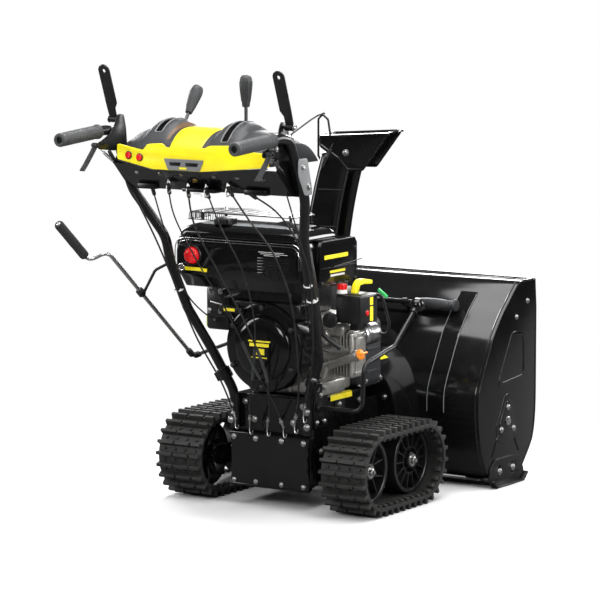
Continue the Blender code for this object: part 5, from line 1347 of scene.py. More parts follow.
def lattice(count, rows, place, keep=None, closed=False):
    """Quads over a grid of points; keep says which faces stay, by the middle of each."""
    bm = bmesh.new()
    grid = [[bm.verts.new(place(i, j)) for j in range(rows)] for i in range(count)]
    for i in range(count if closed else count - 1):
        first, second = grid[i], grid[(i + 1) % count]
        for j in range(rows - 1):
            corners = (first[j], first[j + 1], second[j + 1], second[j])
            middle = sum((v.co for v in corners), Vector()) / 4
            if keep is None or keep(middle):
                bm.faces.new(corners)
    loose = [v for v in bm.verts if not v.link_faces]
    bmesh.ops.delete(bm, geom=loose, context="VERTS")
    bmesh.ops.recalc_face_normals(bm, faces=bm.faces)
    return bm


def back_depth(profile, z):
    """How far forward the rolled back is at the height z."""
    return float(np.interp(z, [p[1] for p in profile[::-1]], [p[0] for p in profile[::-1]]))


def housing():
    """Rolled back sheet, impeller drum, chute neck, side plates and trims."""
    profile = smooth_profile(BACK)
    inner = offset(profile, 0.0025)
    back = Shape().sheet([profile + inner[::-1]], 0.707, "YZ", (0, 0, 0), 0.0003)
    back = carve(back, disc((0, DRUM_BACK + 0.0025, IMPELLER_Z), (0, 0.43, IMPELLER_Z), DRUM_R - 0.0025,
                            96))
    back.done("housing_back", PAINT, "chassis", ["auger_housing"], 25)
    turns, steps = 168, 20

    def outside_neck(p):
        return p.z < 0.3 or math.hypot(p.x - CHUTE_X, p.y - CHUTE_Y) > 0.064

    drum = Shape()
    for radius in (DRUM_R, DRUM_R - 0.0025):
        def wall(i, j):
            a = 2 * math.pi * i / turns
            x, z = radius * math.cos(a), IMPELLER_Z + radius * math.sin(a)
            rear = DRUM_BACK + 0.003
            return Vector((x, rear + (back_depth(profile, z) + 0.001 - rear) * j / (steps - 1), z))
        drum.absorb(lattice(turns, steps, wall, outside_neck, True))
    drum.ring([(DRUM_R - 0.003, 0.0), (0.014, 0.0), (0.014, 0.003), (DRUM_R, 0.003)],
              (0, DRUM_BACK, IMPELLER_Z), FORWARD, 168)
    drum.ring([(0.048, -0.004), (0.04, -0.006), (0.014, -0.006), (0.014, 0.0005), (0.05, 0.0005)],
              (0, DRUM_BACK, IMPELLER_Z), FORWARD, 72)
    drum.done("impeller_drum", PAINT, smooth=30)
    neck = Shape()
    for radius in (0.07, 0.0675):
        def pipe(i, j):
            a = 2 * math.pi * i / 96
            x, y = CHUTE_X + radius * math.cos(a), CHUTE_Y + radius * math.sin(a)
            low = IMPELLER_Z + math.sqrt(max(0.0025, DRUM_R ** 2 - x * x)) - 0.002
            return Vector((x, y, low + (0.4205 - low) * j / 7))
        neck.absorb(lattice(96, 8, pipe, None, True))
    neck.ring([(0.0765, 0.0055), (0.077, 0.005), (0.077, 0.001), (0.07, 0.0), (0.0675, 0.0),
               (0.0675, 0.0055)], (CHUTE_X, CHUTE_Y, 0.4155), UP, 72)
    neck.done("chute_neck", PAINT, smooth=30)
    side_plates(profile)
    trims(profile)


def side_plates(profile):
    """Each side plate with its pressed window, egg and arch, its bolts and its skid shoe."""
    front = [(0.54, 0.013), (0.5825, 0.026), (0.6245, 0.07), (0.65, 0.105), (0.662, 0.15), (0.6674, 0.213),
             (0.6673, 0.34), (0.6668, 0.468), (0.66, 0.544)]
    outline = front[:3] + smooth_profile(front[2:8], 4)[1:] + [front[8]] + profile[1:]
    for side, s in SIDES:
        shape = Shape().sheet([outline], 0.003, "YZ", (s * (HOUSING_HALF - 0.0015), 0, 0), 0.0008, rounds=2)
        window = rounded([(0.5665, 0.412), (0.6055, 0.399), (0.6075, 0.281), (0.4585, 0.269),
                          (0.4665, 0.303), (0.5325, 0.412)], 0.014, 6)
        middle = Vector((sum(p[0] for p in window) / len(window), sum(p[1] for p in window) / len(window)))
        hole = [tuple(middle + (Vector(p) - middle) * 0.86) for p in window]
        shape.sheet([window, hole], 0.003, "YZ", (s * (HOUSING_HALF + 0.0004), 0, 0), 0.0013, rounds=3)
        egg = rounded([(0.495, 0.246), (0.526, 0.246), (0.564, 0.16), (0.56, 0.125), (0.53, 0.108),
                       (0.485, 0.108), (0.452, 0.128), (0.448, 0.165)], 0.024, 8)
        shape.sheet([egg], 0.0034, "YZ", (s * (HOUSING_HALF + 0.0002), 0, 0), 0.0015, rounds=3)
        middle = Vector((0.505, 0.172))
        inner_egg = [tuple(middle + (Vector(p) - middle) * 0.72) for p in egg]
        shape.sheet([inner_egg], 0.003, "YZ", (s * (HOUSING_HALF + 0.0018), 0, 0), 0.0012, rounds=2)
        arch = [(0.425, 0.082), (0.43, 0.092)] + arc((0.5, 0.088), 0.062, 160, 20, 12) + [(0.57, 0.092),
            (0.575, 0.082)]
        shape.tube([(s * (HOUSING_HALF + 0.0004), y, z) for y, z in arch], 0.0024, 8)
        rim = [(s * (HOUSING_HALF - 0.0015), y, z) for y, z in [p for p in outline if p[0] > 0.58]]
        shape.tube(rim[:-1], 0.003, 10)
        shape.done("side_plate_" + side, PAINT, smooth=30)
        bolts = Shape()
        for y, z in ((0.6185, 0.488), (0.5575, 0.45)):
            bolts.bolt((s * (HOUSING_HALF + 0.0002), y, z), (s, 0, 0), 0.005)
        for y, z in ((0.5105, 0.21), (0.4735, 0.152), (0.5415, 0.148)):
            bolts.bolt((s * (HOUSING_HALF + 0.0032), y, z), (s, 0, 0), 0.0056)
        bolts.plug([(0.011, 0.004), (0.0125, 0.003), (0.0125, 0)],
                   (s * (HOUSING_HALF + 0.003), AUGER_Y, AUGER_Z), (s, 0, 0), 32)
        for y, z in ((0.4625, 0.04), (0.5345, 0.042)):
            bolts.bolt((s * (HOUSING_HALF + 0.005), y, z), (s, 0, 0), 0.0068)
        bolts.done("side_bolts_" + side, ZINC)
        shoe = rounded([(0.405, 0.02), (0.425, 0.0), (0.575, 0.0), (0.6, 0.02), (0.585, 0.055),
                        (0.56, 0.075), (0.44, 0.075), (0.415, 0.055)], 0.008)
        slots = [soft_rect(y - 0.006, y + 0.006, 0.026, 0.058, 0.005, 4) for y in (0.4625, 0.5345)]
        skid = Shape().sheet([shoe] + slots, 0.004, "YZ", (s * (HOUSING_HALF + 0.0028), 0, 0), 0.0009,
                             rounds=2)
        low, high = sorted((s * (HOUSING_HALF + 0.002), s * 0.376))
        skid.block((low, 0.425, 0.0), (high, 0.575, 0.005), 0.0018, 3)
        for y, dy in ((0.425, -1), (0.575, 1)):
            ramp = [(y, 0.0), (y + dy * 0.022, 0.02), (y + dy * 0.019, 0.023), (y - dy * 0.002, 0.005)]
            skid.sheet([ramp], high - low - 0.0004, "YZ", ((low + high) / 2, 0, 0), 0.0006)
        skid.done("skid_shoe_" + side, SATIN, "chassis", ["skid_" + side])


def along_back(profile, x, low, high, lift):
    """Points of the housing's back between two heights, standing off by lift."""
    raised = offset(profile, -lift)
    return [(x, y, z) for y, z in raised if low <= z <= high and y < 0.6]


def strap(profile, x0, x1, low, high, lift, name, look):
    """A raised band pressed out of the back sheet."""
    bm = bmesh.new()
    lines = []
    for x, off in ((x0, 0.0002), (x0 + 0.003, lift), (x1 - 0.003, lift), (x1, 0.0002)):
        lines.append([bm.verts.new(p) for p in along_back(profile, x, low, high, off)])
    count = min(len(line) for line in lines)
    for a, b in zip(lines, lines[1:]):
        for k in range(count - 1):
            bm.faces.new((a[k], b[k], b[k + 1], a[k + 1]))
    bmesh.ops.recalc_face_normals(bm, faces=bm.faces)
    Shape().absorb(bm).done(name, look, smooth=30)


def trims(profile):
    """Straps and seams on the back, the drum's flange, bolts and label, and the scraper's screws."""
    for i, (x0, x1) in enumerate(((0.196, 0.25), (-0.25, -0.196))):
        strap(profile, x0, x1, 0.2, 0.515, 0.0028, "back_strap_%d" % i, PAINT)
    seams = Shape()
    for s in (-1, 1):
        line = along_back(profile, s * 0.345, 0.02, 0.5435, 0.0012)
        seams.tube(line, 0.0022, 8)
    seams.tube([(-0.353, 0.656, 0.544), (0.353, 0.656, 0.544)], 0.0026, 10)
    seams.done("housing_seams", PAINT)
    # Painted highlights: thin light grey lines along the right strap's edges stand in for highlights on the
    # glossy black back.
    edges = Shape()
    for x in (0.197, 0.249):
        edges.tube(along_back(profile, x, 0.205, 0.512, 0.002), 0.0009, 6)
    edges.done("strap_edge_painted_highlights", TRIM)
    ring = Shape().ring([(DRUM_R + 0.004, 0.005), (DRUM_R + 0.005, 0.003), (DRUM_R + 0.004, 0.0),
                         (DRUM_R - 0.001, 0.0), (DRUM_R - 0.001, 0.005)],
                        (0, DRUM_BACK - 0.0005, IMPELLER_Z), FORWARD, 96)
    ring.done("drum_flange", PAINT, smooth=30)
    bolts = Shape()
    for k in range(8):
        a = math.radians(22.5 + 45 * k)
        bolts.bolt((0.15 * math.cos(a), DRUM_BACK - 0.0003, IMPELLER_Z + 0.15 * math.sin(a)), BACKWARD,
                   0.0056)
    bolts.done("drum_bolts", ZINC)
    label = Shape()
    bm = bmesh.new()
    rows = []
    for a in np.radians(np.linspace(58, 76, 10)):
        r = DRUM_R + 0.0006
        rows.append([bm.verts.new((r * math.cos(a), y, IMPELLER_Z + r * math.sin(a))) for y in
                     (0.275, 0.325)])
    skin(bm, rows, closed=False, caps=False)
    bmesh.ops.recalc_face_normals(bm, faces=bm.faces)
    label.absorb(bm).done("plain_label_on_drum", LABEL)
    screws = Shape()
    for x in (-0.3, -0.1, 0.1, 0.3):
        screws.bolt((x, 0.47, 0.01), UP, 0.006)
    screws.done("scraper_bolts", ZINC)


def auger_look():
    """Ribbon flights on their tubes, shear bolts and the gearbox between them."""
    for side, s in SIDES:
        name = "auger_" + side
        shape = Shape().ring([(0.018, 0.3), (0.018, 0.0), (0.013, 0.0), (0.013, 0.3)],
                             (s * 0.04, AUGER_Y, AUGER_Z), (s, 0, 0), 40)
        steps = 168
        bm = bmesh.new()
        rings = []
        for i in range(steps + 1):
            angle = math.radians(20) + 2 * math.pi * i / steps
            x = 0.052 + 0.278 * i / steps
            outer = AUGER_R - 0.0045 * (i % 7 in (0, 1))
            rings.append([bm.verts.new((s * (x + k * 0.004), AUGER_Y + r * math.cos(angle),
                                        AUGER_Z + r * math.sin(angle)))
                          for r, k in ((0.095, -0.5), (outer, -0.5), (outer, 0.5), (0.095, 0.5))])
        skin(bm, rings)
        bmesh.ops.recalc_face_normals(bm, faces=bm.faces)
        shape.absorb(bm)
        for turn in (0.06, 0.5, 0.94):
            angle = math.radians(20) + 2 * math.pi * turn
            x = s * (0.052 + 0.278 * turn)
            tip = Vector((x, AUGER_Y + 0.104 * math.cos(angle), AUGER_Z + 0.104 * math.sin(angle)))
            shape.tube([(x, AUGER_Y, AUGER_Z), tip], 0.0078, 20)
        shape.done(name + "_ribbon", PAINT, "augers", [name], 30)
        pins = Shape().bolt((s * 0.075, AUGER_Y - 0.018, AUGER_Z), BACKWARD, 0.005)
        pins.bolt((s * 0.075, AUGER_Y + 0.018, AUGER_Z), FORWARD, 0.005)
        pins.done(name + "_shear_bolt", ZINC, "augers")
    box = Shape().plug([(0.036, 0.072), (0.043, 0.068), (0.045, 0.06), (0.045, 0.012),
                        (0.043, 0.004), (0.036, 0)], (-0.036, AUGER_Y, AUGER_Z), RIGHT, 56)
    box.plug([(0.025, 0.109), (0.025, 0.012), (0.029, 0.008), (0.029, 0)],
             (0, 0.4, IMPELLER_Z), FORWARD, 48)
    box.ring([(0.05, 0.003), (0.05, -0.003), (0.043, -0.003), (0.043, 0.003)], (0, AUGER_Y, AUGER_Z),
             RIGHT, 56)
    box.done("worm_gearbox", CASTING, "chassis", ["auger_gearbox"], 40)
    ring_bolts = Shape()
    for k in range(6):
        a = math.radians(60 * k + 10)
        ring_bolts.bolt((0.0033, AUGER_Y + 0.044 * math.cos(a), AUGER_Z + 0.044 * math.sin(a)), RIGHT,
                        0.0036)
    ring_bolts.done("gearbox_bolts", ZINC)


def tool_look():
    """Clean-out tool in its clips on the housing."""
    y, z = 0.463, 0.482
    shaft = Shape().tube([(-0.15, y, z), (0.1, y, z)], 0.0065, 24)
    shaft.block((-0.215, y - 0.013, z - 0.016), (-0.145, y - 0.006, z + 0.016), 0.0024, 3)
    shaft.block((-0.215, y - 0.013, z - 0.016), (-0.208, y + 0.01, z + 0.016), 0.0024, 3)
    shaft.block((-0.17, y - 0.009, z - 0.01), (-0.135, y + 0.006, z + 0.01), 0.005, 3)
    shaft.done("clean_out_shaft", PLASTIC, "clean_out_tool", ["clean_out_tool"])
    profile = [(0.0, 0.135), (0.014, 0.135), (0.016, 0.134), (0.0165, 0.132), (0.0165, 0.129),
               (0.0155, 0.1275), (0.0118, 0.1262), (0.0115, 0.122), (0.013, 0.12), (0.013, 0.117),
               (0.0116, 0.115), (0.0116, 0.111), (0.013, 0.1095), (0.0134, 0.1), (0.0148, 0.082),
               (0.0155, 0.06), (0.0148, 0.04), (0.013, 0.02), (0.0105, 0.006), (0.0095, 0.0), (0.0, 0.0)]
    Shape().turn(profile, (0.088, y, z), RIGHT, 48).done("clean_out_grip", CHARCOAL, "clean_out_tool",
        smooth=50)
    clips = Shape()
    for x in (-0.12, 0.06):
        clips.ring([(0.0095, 0.007), (0.0095, -0.007), (0.007, -0.007), (0.007, 0.007)], (x, y, z), RIGHT,
                   32)
        clips.block((x - 0.007, y + 0.004, z - 0.014), (x + 0.007, y + 0.018, z - 0.005), 0.002, 2)
    clips.done("tool_clips", PLASTIC)


# ---------------------------------------------------------------- chute
CHUTE_TURN = math.radians(15)
CHUTE = Matrix.Translation((CHUTE_X, CHUTE_Y, 0)) @ Matrix.Rotation(CHUTE_TURN, 4, "Z")


def chute_lean(z):
    """How far the channel leans out at the height z."""
    return 0.36 * max(0.0, z - 0.5) ** 2


def chute_look():
    """Open channel with rolled flanges and ribs, on its toothed ring."""
    half, deep, corner = 0.063, 0.045, 0.018
    section = [(deep, -half), (0.02, -half), (-0.005, -half)]
    section += [(-deep + corner - corner * math.sin(a), -half + corner - corner * math.cos(a))
                for a in np.linspace(0, math.pi / 2, 10)]
    section += [(-deep, -0.02), (-deep, 0.0)]
    section += [(x, -y) for x, y in section[-2::-1]]
    heights = list(np.linspace(0.4245, 0.895, 34))
    bm = bmesh.new()
    rows = [[bm.verts.new(CHUTE @ Vector((chute_lean(z) + x, y, z))) for x, y in section] for z in heights]
    skin(bm, rows, closed=False, caps=False)
    mesh = mesh_from(bm, "chute_channel")
    channel = placed("chute_channel", mesh)
    wall = channel.modifiers.new("wall", "SOLIDIFY")
    wall.thickness = 0.002
    wall.offset = 0.0
    mesh.materials.append(LACQUER)
    mesh.shade_smooth()
    mesh.set_sharp_from_angle(angle=math.radians(40))
    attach(channel, "chute")
    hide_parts("chute")
    extras = Shape()
    extras.ring([(0.079, 0.006), (0.079, 0.0), (0.06, 0.0), (0.06, 0.006)], (CHUTE_X, CHUTE_Y, RING_Z), UP,
                72)
    for a in spokes(44):
        spin = Matrix.Translation((CHUTE_X, CHUTE_Y, RING_Z)) @ Matrix.Rotation(a, 4, "Z")
        extras.block((0.078, -0.003, 0.0008), (0.0815, 0.003, 0.0052), 0.0007, 1, spin)
    extras.block((0.044, -0.064, 0.424), (0.046, 0.064, 0.56), 0.0007, 2, CHUTE)
    for s in (-1, 1):
        flange = [CHUTE @ Vector((chute_lean(z) + deep, s * (half + 0.001), z)) for z in heights[9:]]
        extras.tube(flange, 0.0026, 10)
        for z in (0.6, 0.7, 0.8):
            start = CHUTE @ Vector((chute_lean(z) + deep, s * (half + 0.0008), z))
            end = CHUTE @ Vector((chute_lean(z) - deep + 0.018, s * (half + 0.0008), z))
            extras.tube([start, end], 0.0018, 8)
    extras.done("chute_rim_and_ring", PLASTIC, "chute", smooth=40)
    bolts = Shape()
    for a in spokes(6):
        a += 0.3
        bolts.bolt((CHUTE_X + 0.0715 * math.cos(a), CHUTE_Y + 0.0715 * math.sin(a), 0.4275), UP, 0.0044)
    bolts.done("chute_ring_bolts", ZINC, "chute")


def deflector_look():
    """Hood with two side sheets, ribs, pivot bolts, spring and cable arm."""
    half = 0.067
    side = rounded([(0.01, 0.915), (0.01, 0.945), (0.205, 0.956), (0.198, 0.944), (0.132, 0.852),
                    (0.088, 0.852), (0.06, 0.88)], 0.006, 5)
    upright = Matrix(((1, 0, 0), (0, 0, -1), (0, 1, 0))).to_4x4()
    shape = Shape()
    for s in (-1, 1):
        shape.sheet([side], 0.002, "XY", (0, 0, 0), 0.0007,
                    CHUTE @ Matrix.Translation((0, s * (half - 0.001), 0)) @ upright, 2)
        rib = [CHUTE @ Vector((u, s * (half + 0.0002), z)) for u, z in
               ((0.014, 0.922), (0.062, 0.888), (0.09, 0.857), (0.13, 0.857), (0.193, 0.943))]
        shape.tube(bent(rib, 0.006, 4), 0.0018, 8)
    roof = [(0.01, 0.9428), (0.01, 0.945), (0.205, 0.956), (0.207, 0.954), (0.205, 0.9536)]
    shape.sheet([roof], 2 * half, "XY", (0, 0, 0), 0.0004, CHUTE @ upright)
    for y in (-0.04, 0.0, 0.04):
        shape.tube([CHUTE @ Vector((0.02, y, 0.946)), CHUTE @ Vector((0.195, y, 0.9558))], 0.0022, 8)
    lip = [CHUTE @ Vector((0.204, y, z)) for y, z in ((-half, 0.95), (-half, 0.9555), (half, 0.9555),
           (half, 0.95))]
    shape.tube(bent(lip, 0.006, 4), 0.0021, 8)
    shape.done("deflector_hood", LACQUER, "deflector", ["deflector"], 40)
    bolts = Shape()
    for s in (-1, 1):
        bolts.bolt(CHUTE @ Vector((0.084, s * (half + 0.0002), 0.9)), CHUTE.to_3x3() @ Vector((0, s, 0)),
                   0.0062)
    bolts.done("deflector_pivot_bolts", ZINC, "deflector")
    spring = Shape().coil(CHUTE @ Vector((0.05, -0.0695, 0.925)), CHUTE @ Vector((0.012, -0.068, 0.85)),
                          0.0045, 0.001, 13)
    spring.done("deflector_spring", DARK_STEEL, "chute")
    arm = Shape().tube(bent([CHUTE @ Vector((0.026, -0.02, 0.945)), CHUTE @ Vector((0.02, -0.02, 0.985)),
                             CHUTE @ Vector((0.002, -0.02, 1.0))], 0.012), 0.003, 12)
    arm.block((0.014, -0.032, 0.943), (0.046, -0.008, 0.9475), 0.001, 2, CHUTE)
    arm.done("deflector_cable_arm", SATIN, "deflector")


# ---------------------------------------------------------------- tracks
WHEEL_Z, DRIVE_Y, IDLER_Y = 0.1125, 0.141, -0.067
BELT_INNER_R, BELT_THICK, LUG_HEIGHT, LUGS = 0.0895, 0.009, 0.014, 36
TRACK_IN, TRACK_OUT = 0.187, 0.322


def loop_point(share, radius):
    """Place, outward way and forward way on the belt's loop; share runs 0 to 1 round the loop."""
    straight = DRIVE_Y - IDLER_Y
    half_turn = math.pi * radius
    distance = (share % 1.0) * 2 * (straight + half_turn)
    if distance < straight:
        return Vector((0, IDLER_Y + distance, WHEEL_Z - radius)), Vector((0, 0, -1))
    distance -= straight
    if distance < half_turn:
        a = distance / radius - math.pi / 2
        return (Vector((0, DRIVE_Y + radius * math.cos(a), WHEEL_Z + radius * math.sin(a))),
                Vector((0, math.cos(a), math.sin(a))))
    distance -= half_turn
    if distance < straight:
        return Vector((0, DRIVE_Y - distance, WHEEL_Z + radius)), Vector((0, 0, 1))
    a = (distance - straight) / radius + math.pi / 2
    return (Vector((0, IDLER_Y + radius * math.cos(a), WHEEL_Z + radius * math.sin(a))),
            Vector((0, math.cos(a), math.sin(a))))


def on_belt(share, radius, middle):
    """Frame of a piece on the belt: X across it, Y ahead along it and Z outwards."""
    point, way = loop_point(share, radius)
    ahead = Vector((0, -way.z, way.y))
    return Matrix(((1, ahead.x, way.x, middle), (0, ahead.y, way.y, point.y), (0, ahead.z, way.z, point.z),
                   (0, 0, 0, 1)))


def belt(side, s):
    """Rubber band with its three-part lugs, small blocks between them and drive lugs inside."""
    shape = Shape()
    band = bmesh.new()
    count = 180
    outer_r, wide = BELT_INNER_R + BELT_THICK, TRACK_OUT - TRACK_IN
    rings = []
    for i in range(count):
        ring = []
        for radius, x in ((BELT_INNER_R, TRACK_IN), (outer_r - 0.0015, TRACK_IN),
                          (outer_r, TRACK_IN + 0.0015), (outer_r, TRACK_OUT - 0.0015),
                          (outer_r - 0.0015, TRACK_OUT), (BELT_INNER_R, TRACK_OUT)):
            point, _ = loop_point(i / count, radius)
            ring.append(band.verts.new((s * x, point.y, point.z)))
        rings.append(ring)
    skin(band, rings + rings[:1], caps=False)
    bmesh.ops.recalc_face_normals(band, faces=band.faces)
    shape.absorb(band)
    middle = s * (TRACK_IN + TRACK_OUT) / 2
    for i in range(LUGS):
        matrix = on_belt((i + 0.33) / LUGS, outer_r, middle)
        tall = LUG_HEIGHT
        for x0, x1 in ((-wide / 2, -0.018), (-0.012, wide / 2 - 0.034), (wide / 2 - 0.028, wide / 2)):
            section = [(-0.0062, -0.002), (0.0062, -0.002), (0.0044, tall - 0.001), (0.0036, tall),
                       (-0.0036, tall), (-0.0044, tall - 0.001)]
            bm = bmesh.new()
            ends = []
            for x, squeeze in ((x0, 0.0), (x0 + 0.0012, 1.0), (x1 - 0.0012, 1.0), (x1, 0.0)):
                ends.append([bm.verts.new((x, a * (0.8 + 0.2 * squeeze), b - (1 - squeeze) * 0.001 *
                                           (b > 0))) for a, b in section])
            skin(bm, ends)
            bmesh.ops.recalc_face_normals(bm, faces=bm.faces)
            shape.absorb(bm, matrix)
        shape.block((-0.018, -0.0044, -0.001), (-0.012, 0.0044, tall * 0.66), 0.0008, 1, matrix)
        shape.block((wide / 2 - 0.034, -0.0044, -0.001), (wide / 2 - 0.028, 0.0044, tall * 0.66), 0.0008, 1,
                    matrix)
        matrix = on_belt((i + 0.83) / LUGS, outer_r, middle)
        for x in (-0.048, -0.016, 0.016, 0.048):
            shape.block((x - 0.0042, -0.003, -0.001), (x + 0.0042, 0.003, 0.004), 0.001, 1, matrix)
        matrix = on_belt((i + 0.5) / LUGS, BELT_INNER_R, middle)
        for x in (-0.058, 0.05):
            shape.block((x - 0.005, -0.006, -0.008), (x + 0.013, 0.006, 0.001), 0.0022, 2, matrix)
    shape.done("tread_belt_" + side, TREAD, "track_" + side, ["track_belt_" + side], 30)


def wheel(side, s, kind):
    """Drive wheel with a webbed disc, or idler with pairs of spokes, and its nut."""
    name = kind + "_wheel_" + side
    y = DRIVE_Y if kind == "drive" else IDLER_Y
    wide, radius = 0.05, BELT_INNER_R - 0.0022
    hub, outwards = (s * 0.225, y, WHEEL_Z), (s, 0, 0)
    spin0 = Matrix.Translation(hub) @ Matrix.Diagonal((s, 1, 1, 1))
    shape = Shape()
    rim = [(radius, 0.0), (radius, wide - 0.001), (radius - 0.001, wide), (0.0785, wide),
           (0.0765, wide - 0.002), (0.0755, 0.033), (0.0755, 0.017), (0.078, 0.0)]
    shape.ring(rim, hub, outwards, 96)
    shape.ring([(0.021, wide + 0.001), (0.019, wide + 0.002), (0.011, wide + 0.002), (0.011, 0.0),
                (0.021, 0.0)], hub, outwards, 48)
    if kind == "drive":
        shape.ring([(0.076, 0.03), (0.076, 0.02), (0.02, 0.02), (0.02, 0.03)], hub, outwards, 96)
        shape.ring([(0.0365, 0.046), (0.0365, 0.028), (0.0335, 0.028), (0.0335, 0.046)], hub, outwards, 64)
        for a in spokes(14):
            spin = spin0 @ Matrix.Rotation(a, 4, "X")
            shape.block((0.028, 0.035, -0.0016), (0.047, 0.0765, 0.0016), 0.0008, 2, spin)
            shape.block((0.003, 0.02, -0.0016), (0.022, 0.0765, 0.0016), 0.0008, 2, spin)
        for a in spokes(5):
            spin = spin0 @ Matrix.Rotation(a + 0.2, 4, "X")
            shape.block((0.028, 0.0195, -0.0016), (0.045, 0.035, 0.0016), 0.0008, 2, spin)
        shape.tube([(s * 0.004, y, WHEEL_Z), (s * 0.282, y, WHEEL_Z)], 0.0095, 28)
    else:
        for a in spokes(5):
            for lean in (-0.3, 0.3):
                root = Vector((0.025, 0.019 * math.cos(lean * 2.4), 0.019 * math.sin(lean * 2.4)))
                tip = Vector((0.025, 0.077 * math.cos(lean), 0.077 * math.sin(lean)))
                run = tip - root
                turned = spin0 @ Matrix.Rotation(a, 4, "X") @ Matrix.Translation((root + tip) / 2)
                place = turned @ Matrix.Rotation(math.atan2(run.z, run.y), 4, "X")
                shape.block((-0.02, -run.length / 2, -0.0022), (0.02, run.length / 2, 0.0022), 0.001, 2,
                            place)
                shape.block((-0.003, -run.length / 2, -0.006), (0.003, run.length / 2, 0.006), 0.001, 2,
                            place)
        shape.ring([(0.044, 0.029), (0.044, 0.021), (0.0405, 0.021), (0.0405, 0.029)], hub, outwards, 64)
    shape.done(kind + "_wheel_casting_" + side, WHEEL_PLASTIC, name, [name], 40)
    nut = Shape()
    nut.plug([(0.0165, 0.0022), (0.0172, 0.0014), (0.0172, 0)], (s * 0.2772, y, WHEEL_Z), outwards, 36)
    nut.bolt((s * 0.279, y, WHEEL_Z), outwards, 0.01, False)
    nut.plug([(0.0048, 0.01), (0.0052, 0.0092), (0.0052, 0)], (s * 0.28, y, WHEEL_Z), outwards, 20)
    nut.done(kind + "_wheel_nut_" + side, ZINC, name if kind == "drive" else "track_" + side)


def track_bits():
    """Both tracks: belt, wheels and the frame's bolts."""
    for side, s in SIDES:
        belt(side, s)
        wheel(side, s, "drive")
        wheel(side, s, "idler")
        stub = Shape()
        for y in (0.0, 0.07):
            stub.bolt((s * 0.19, y, WHEEL_Z), (-s, 0, 0), 0.0056)
        stub.done("track_frame_bolts_" + side, ZINC, "track_" + side)


# ---------------------------------------------------------------- cables
def cables():
    """Control cables from the dash down to the case, with end fittings and sleeves."""
    runs = [
        [(-0.252, -0.47, 0.945), (-0.24, -0.4, 0.85), (-0.222, -0.32, 0.72), (-0.196, -0.272, 0.6),
         (-0.165, -0.215, 0.45), (-0.128, -0.15, 0.32), (-0.1, -0.128, 0.225)],
        [(-0.105, -0.424, 0.868), (-0.1, -0.4, 0.78), (-0.075, -0.335, 0.66), (-0.03, -0.262, 0.52),
         (0.01, -0.205, 0.38), (0.04, -0.15, 0.27), (0.05, -0.1285, 0.215)],
        [(-0.045, -0.424, 0.862), (-0.042, -0.395, 0.76), (-0.02, -0.325, 0.64), (0.02, -0.258, 0.5),
         (0.04, -0.2, 0.37), (0.02, -0.15, 0.275), (0.0, -0.1285, 0.215)],
        [(0.01, -0.424, 0.862), (0.03, -0.385, 0.76), (0.048, -0.312, 0.64), (0.04, -0.248, 0.5),
         (0.0, -0.195, 0.37), (-0.04, -0.15, 0.28), (-0.055, -0.1285, 0.215)],
        [(0.075, -0.424, 0.868), (0.105, -0.38, 0.79), (0.14, -0.31, 0.69), (0.15, -0.25, 0.57),
         (0.14, -0.205, 0.45), (0.11, -0.15, 0.32), (0.085, -0.1285, 0.23)],
        [(0.25, -0.47, 0.945), (0.238, -0.4, 0.85), (0.226, -0.318, 0.72), (0.2255, -0.278, 0.64),
         (0.205, -0.232, 0.52), (0.16, -0.165, 0.39), (0.112, -0.1285, 0.26)],
        [(0.12, -0.4, 0.855), (0.17, -0.34, 0.8), (0.195, -0.285, 0.72), (0.198, -0.262, 0.64),
         (0.18, -0.222, 0.54), (0.165, -0.16, 0.45), (0.168, -0.1, 0.42)],
        [(-0.17, -0.4, 0.855), (-0.19, -0.33, 0.76), (-0.188, -0.275, 0.65), (-0.178, -0.235, 0.56),
         (-0.15, -0.18, 0.5), (-0.14, -0.128, 0.49)],
    ]
    shape = Shape()
    for i, run in enumerate(runs):
        shape.tube(flow(run, 12), 0.0019 if i % 2 else 0.0023, 12)
    for run in runs:
        a, b = Vector(run[0]), Vector(run[1])
        shape.plug([(0.0042, 0.03), (0.005, 0.027), (0.005, 0.002), (0.0042, 0)], a, b - a, 20)
    shape.done("control_cables", CABLE, smooth=60)
    metal = Shape()
    for run in runs[:6]:
        a, b = Vector(run[-2]), Vector(run[-1])
        way = (b - a).normalized()
        metal.plug([(0.0034, 0.03), (0.0034, 0.016), (0.0055, 0.0155), (0.0055, 0.0095), (0.0034, 0.009),
                    (0.0034, 0)], b - way * 0.03, way, 14)
        hook = [b, b + Vector((0, -0.002, -0.012)), b + Vector((0.004, -0.004, -0.024)),
                b + Vector((0.01, -0.004, -0.022)), b + Vector((0.011, -0.003, -0.014))]
        metal.tube(flow(hook, 5), 0.0015, 8)
    metal.done("cable_ends", ZINC)
    sleeve = Shape()
    for run in runs[1:4]:
        path = flow(run, 12)
        sleeve.tube(path[42:52], 0.0042, 14)
    sleeve.done("cable_sleeves", KNOB)
    chute_cable()


def chute_cable():
    """Cable arm on the chute, and the cable from the dash to the deflector as a fixed mesh."""
    arm = Shape()
    points = [(0.001, 0.0, 0.862), (-0.014, 0.0, 0.885), (-0.014, 0.0, 0.985), (0.004, 0.0, 1.002)]
    arm.tube(bent([CHUTE @ Vector(p) for p in points], 0.012), 0.003, 12)
    arm.block((-0.004, -0.014, 0.842), (0.0, 0.014, 0.874), 0.0012, 2, CHUTE)
    arm.done("chute_cable_arm", SATIN, "chute")
    end = CHUTE @ Vector((0.0, 0.0, 1.0))
    start = Vector((-0.118, -0.29, 0.905))
    path = flow([start, start + Vector((0.002, 0.09, -0.01)), start + Vector((0.006, 0.24, -0.005)),
                 start + Vector((0.01, 0.4, 0.035)), end + Vector((-0.002, -0.05, -0.012)), end], 14)
    mesh_shape = Shape().tube(path, 0.0022, 10)
    cable = as_object(mesh_shape, "deflector_cable")
    cable.data.materials.append(CABLE)
    cable.data.shade_smooth()
    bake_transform(cable)


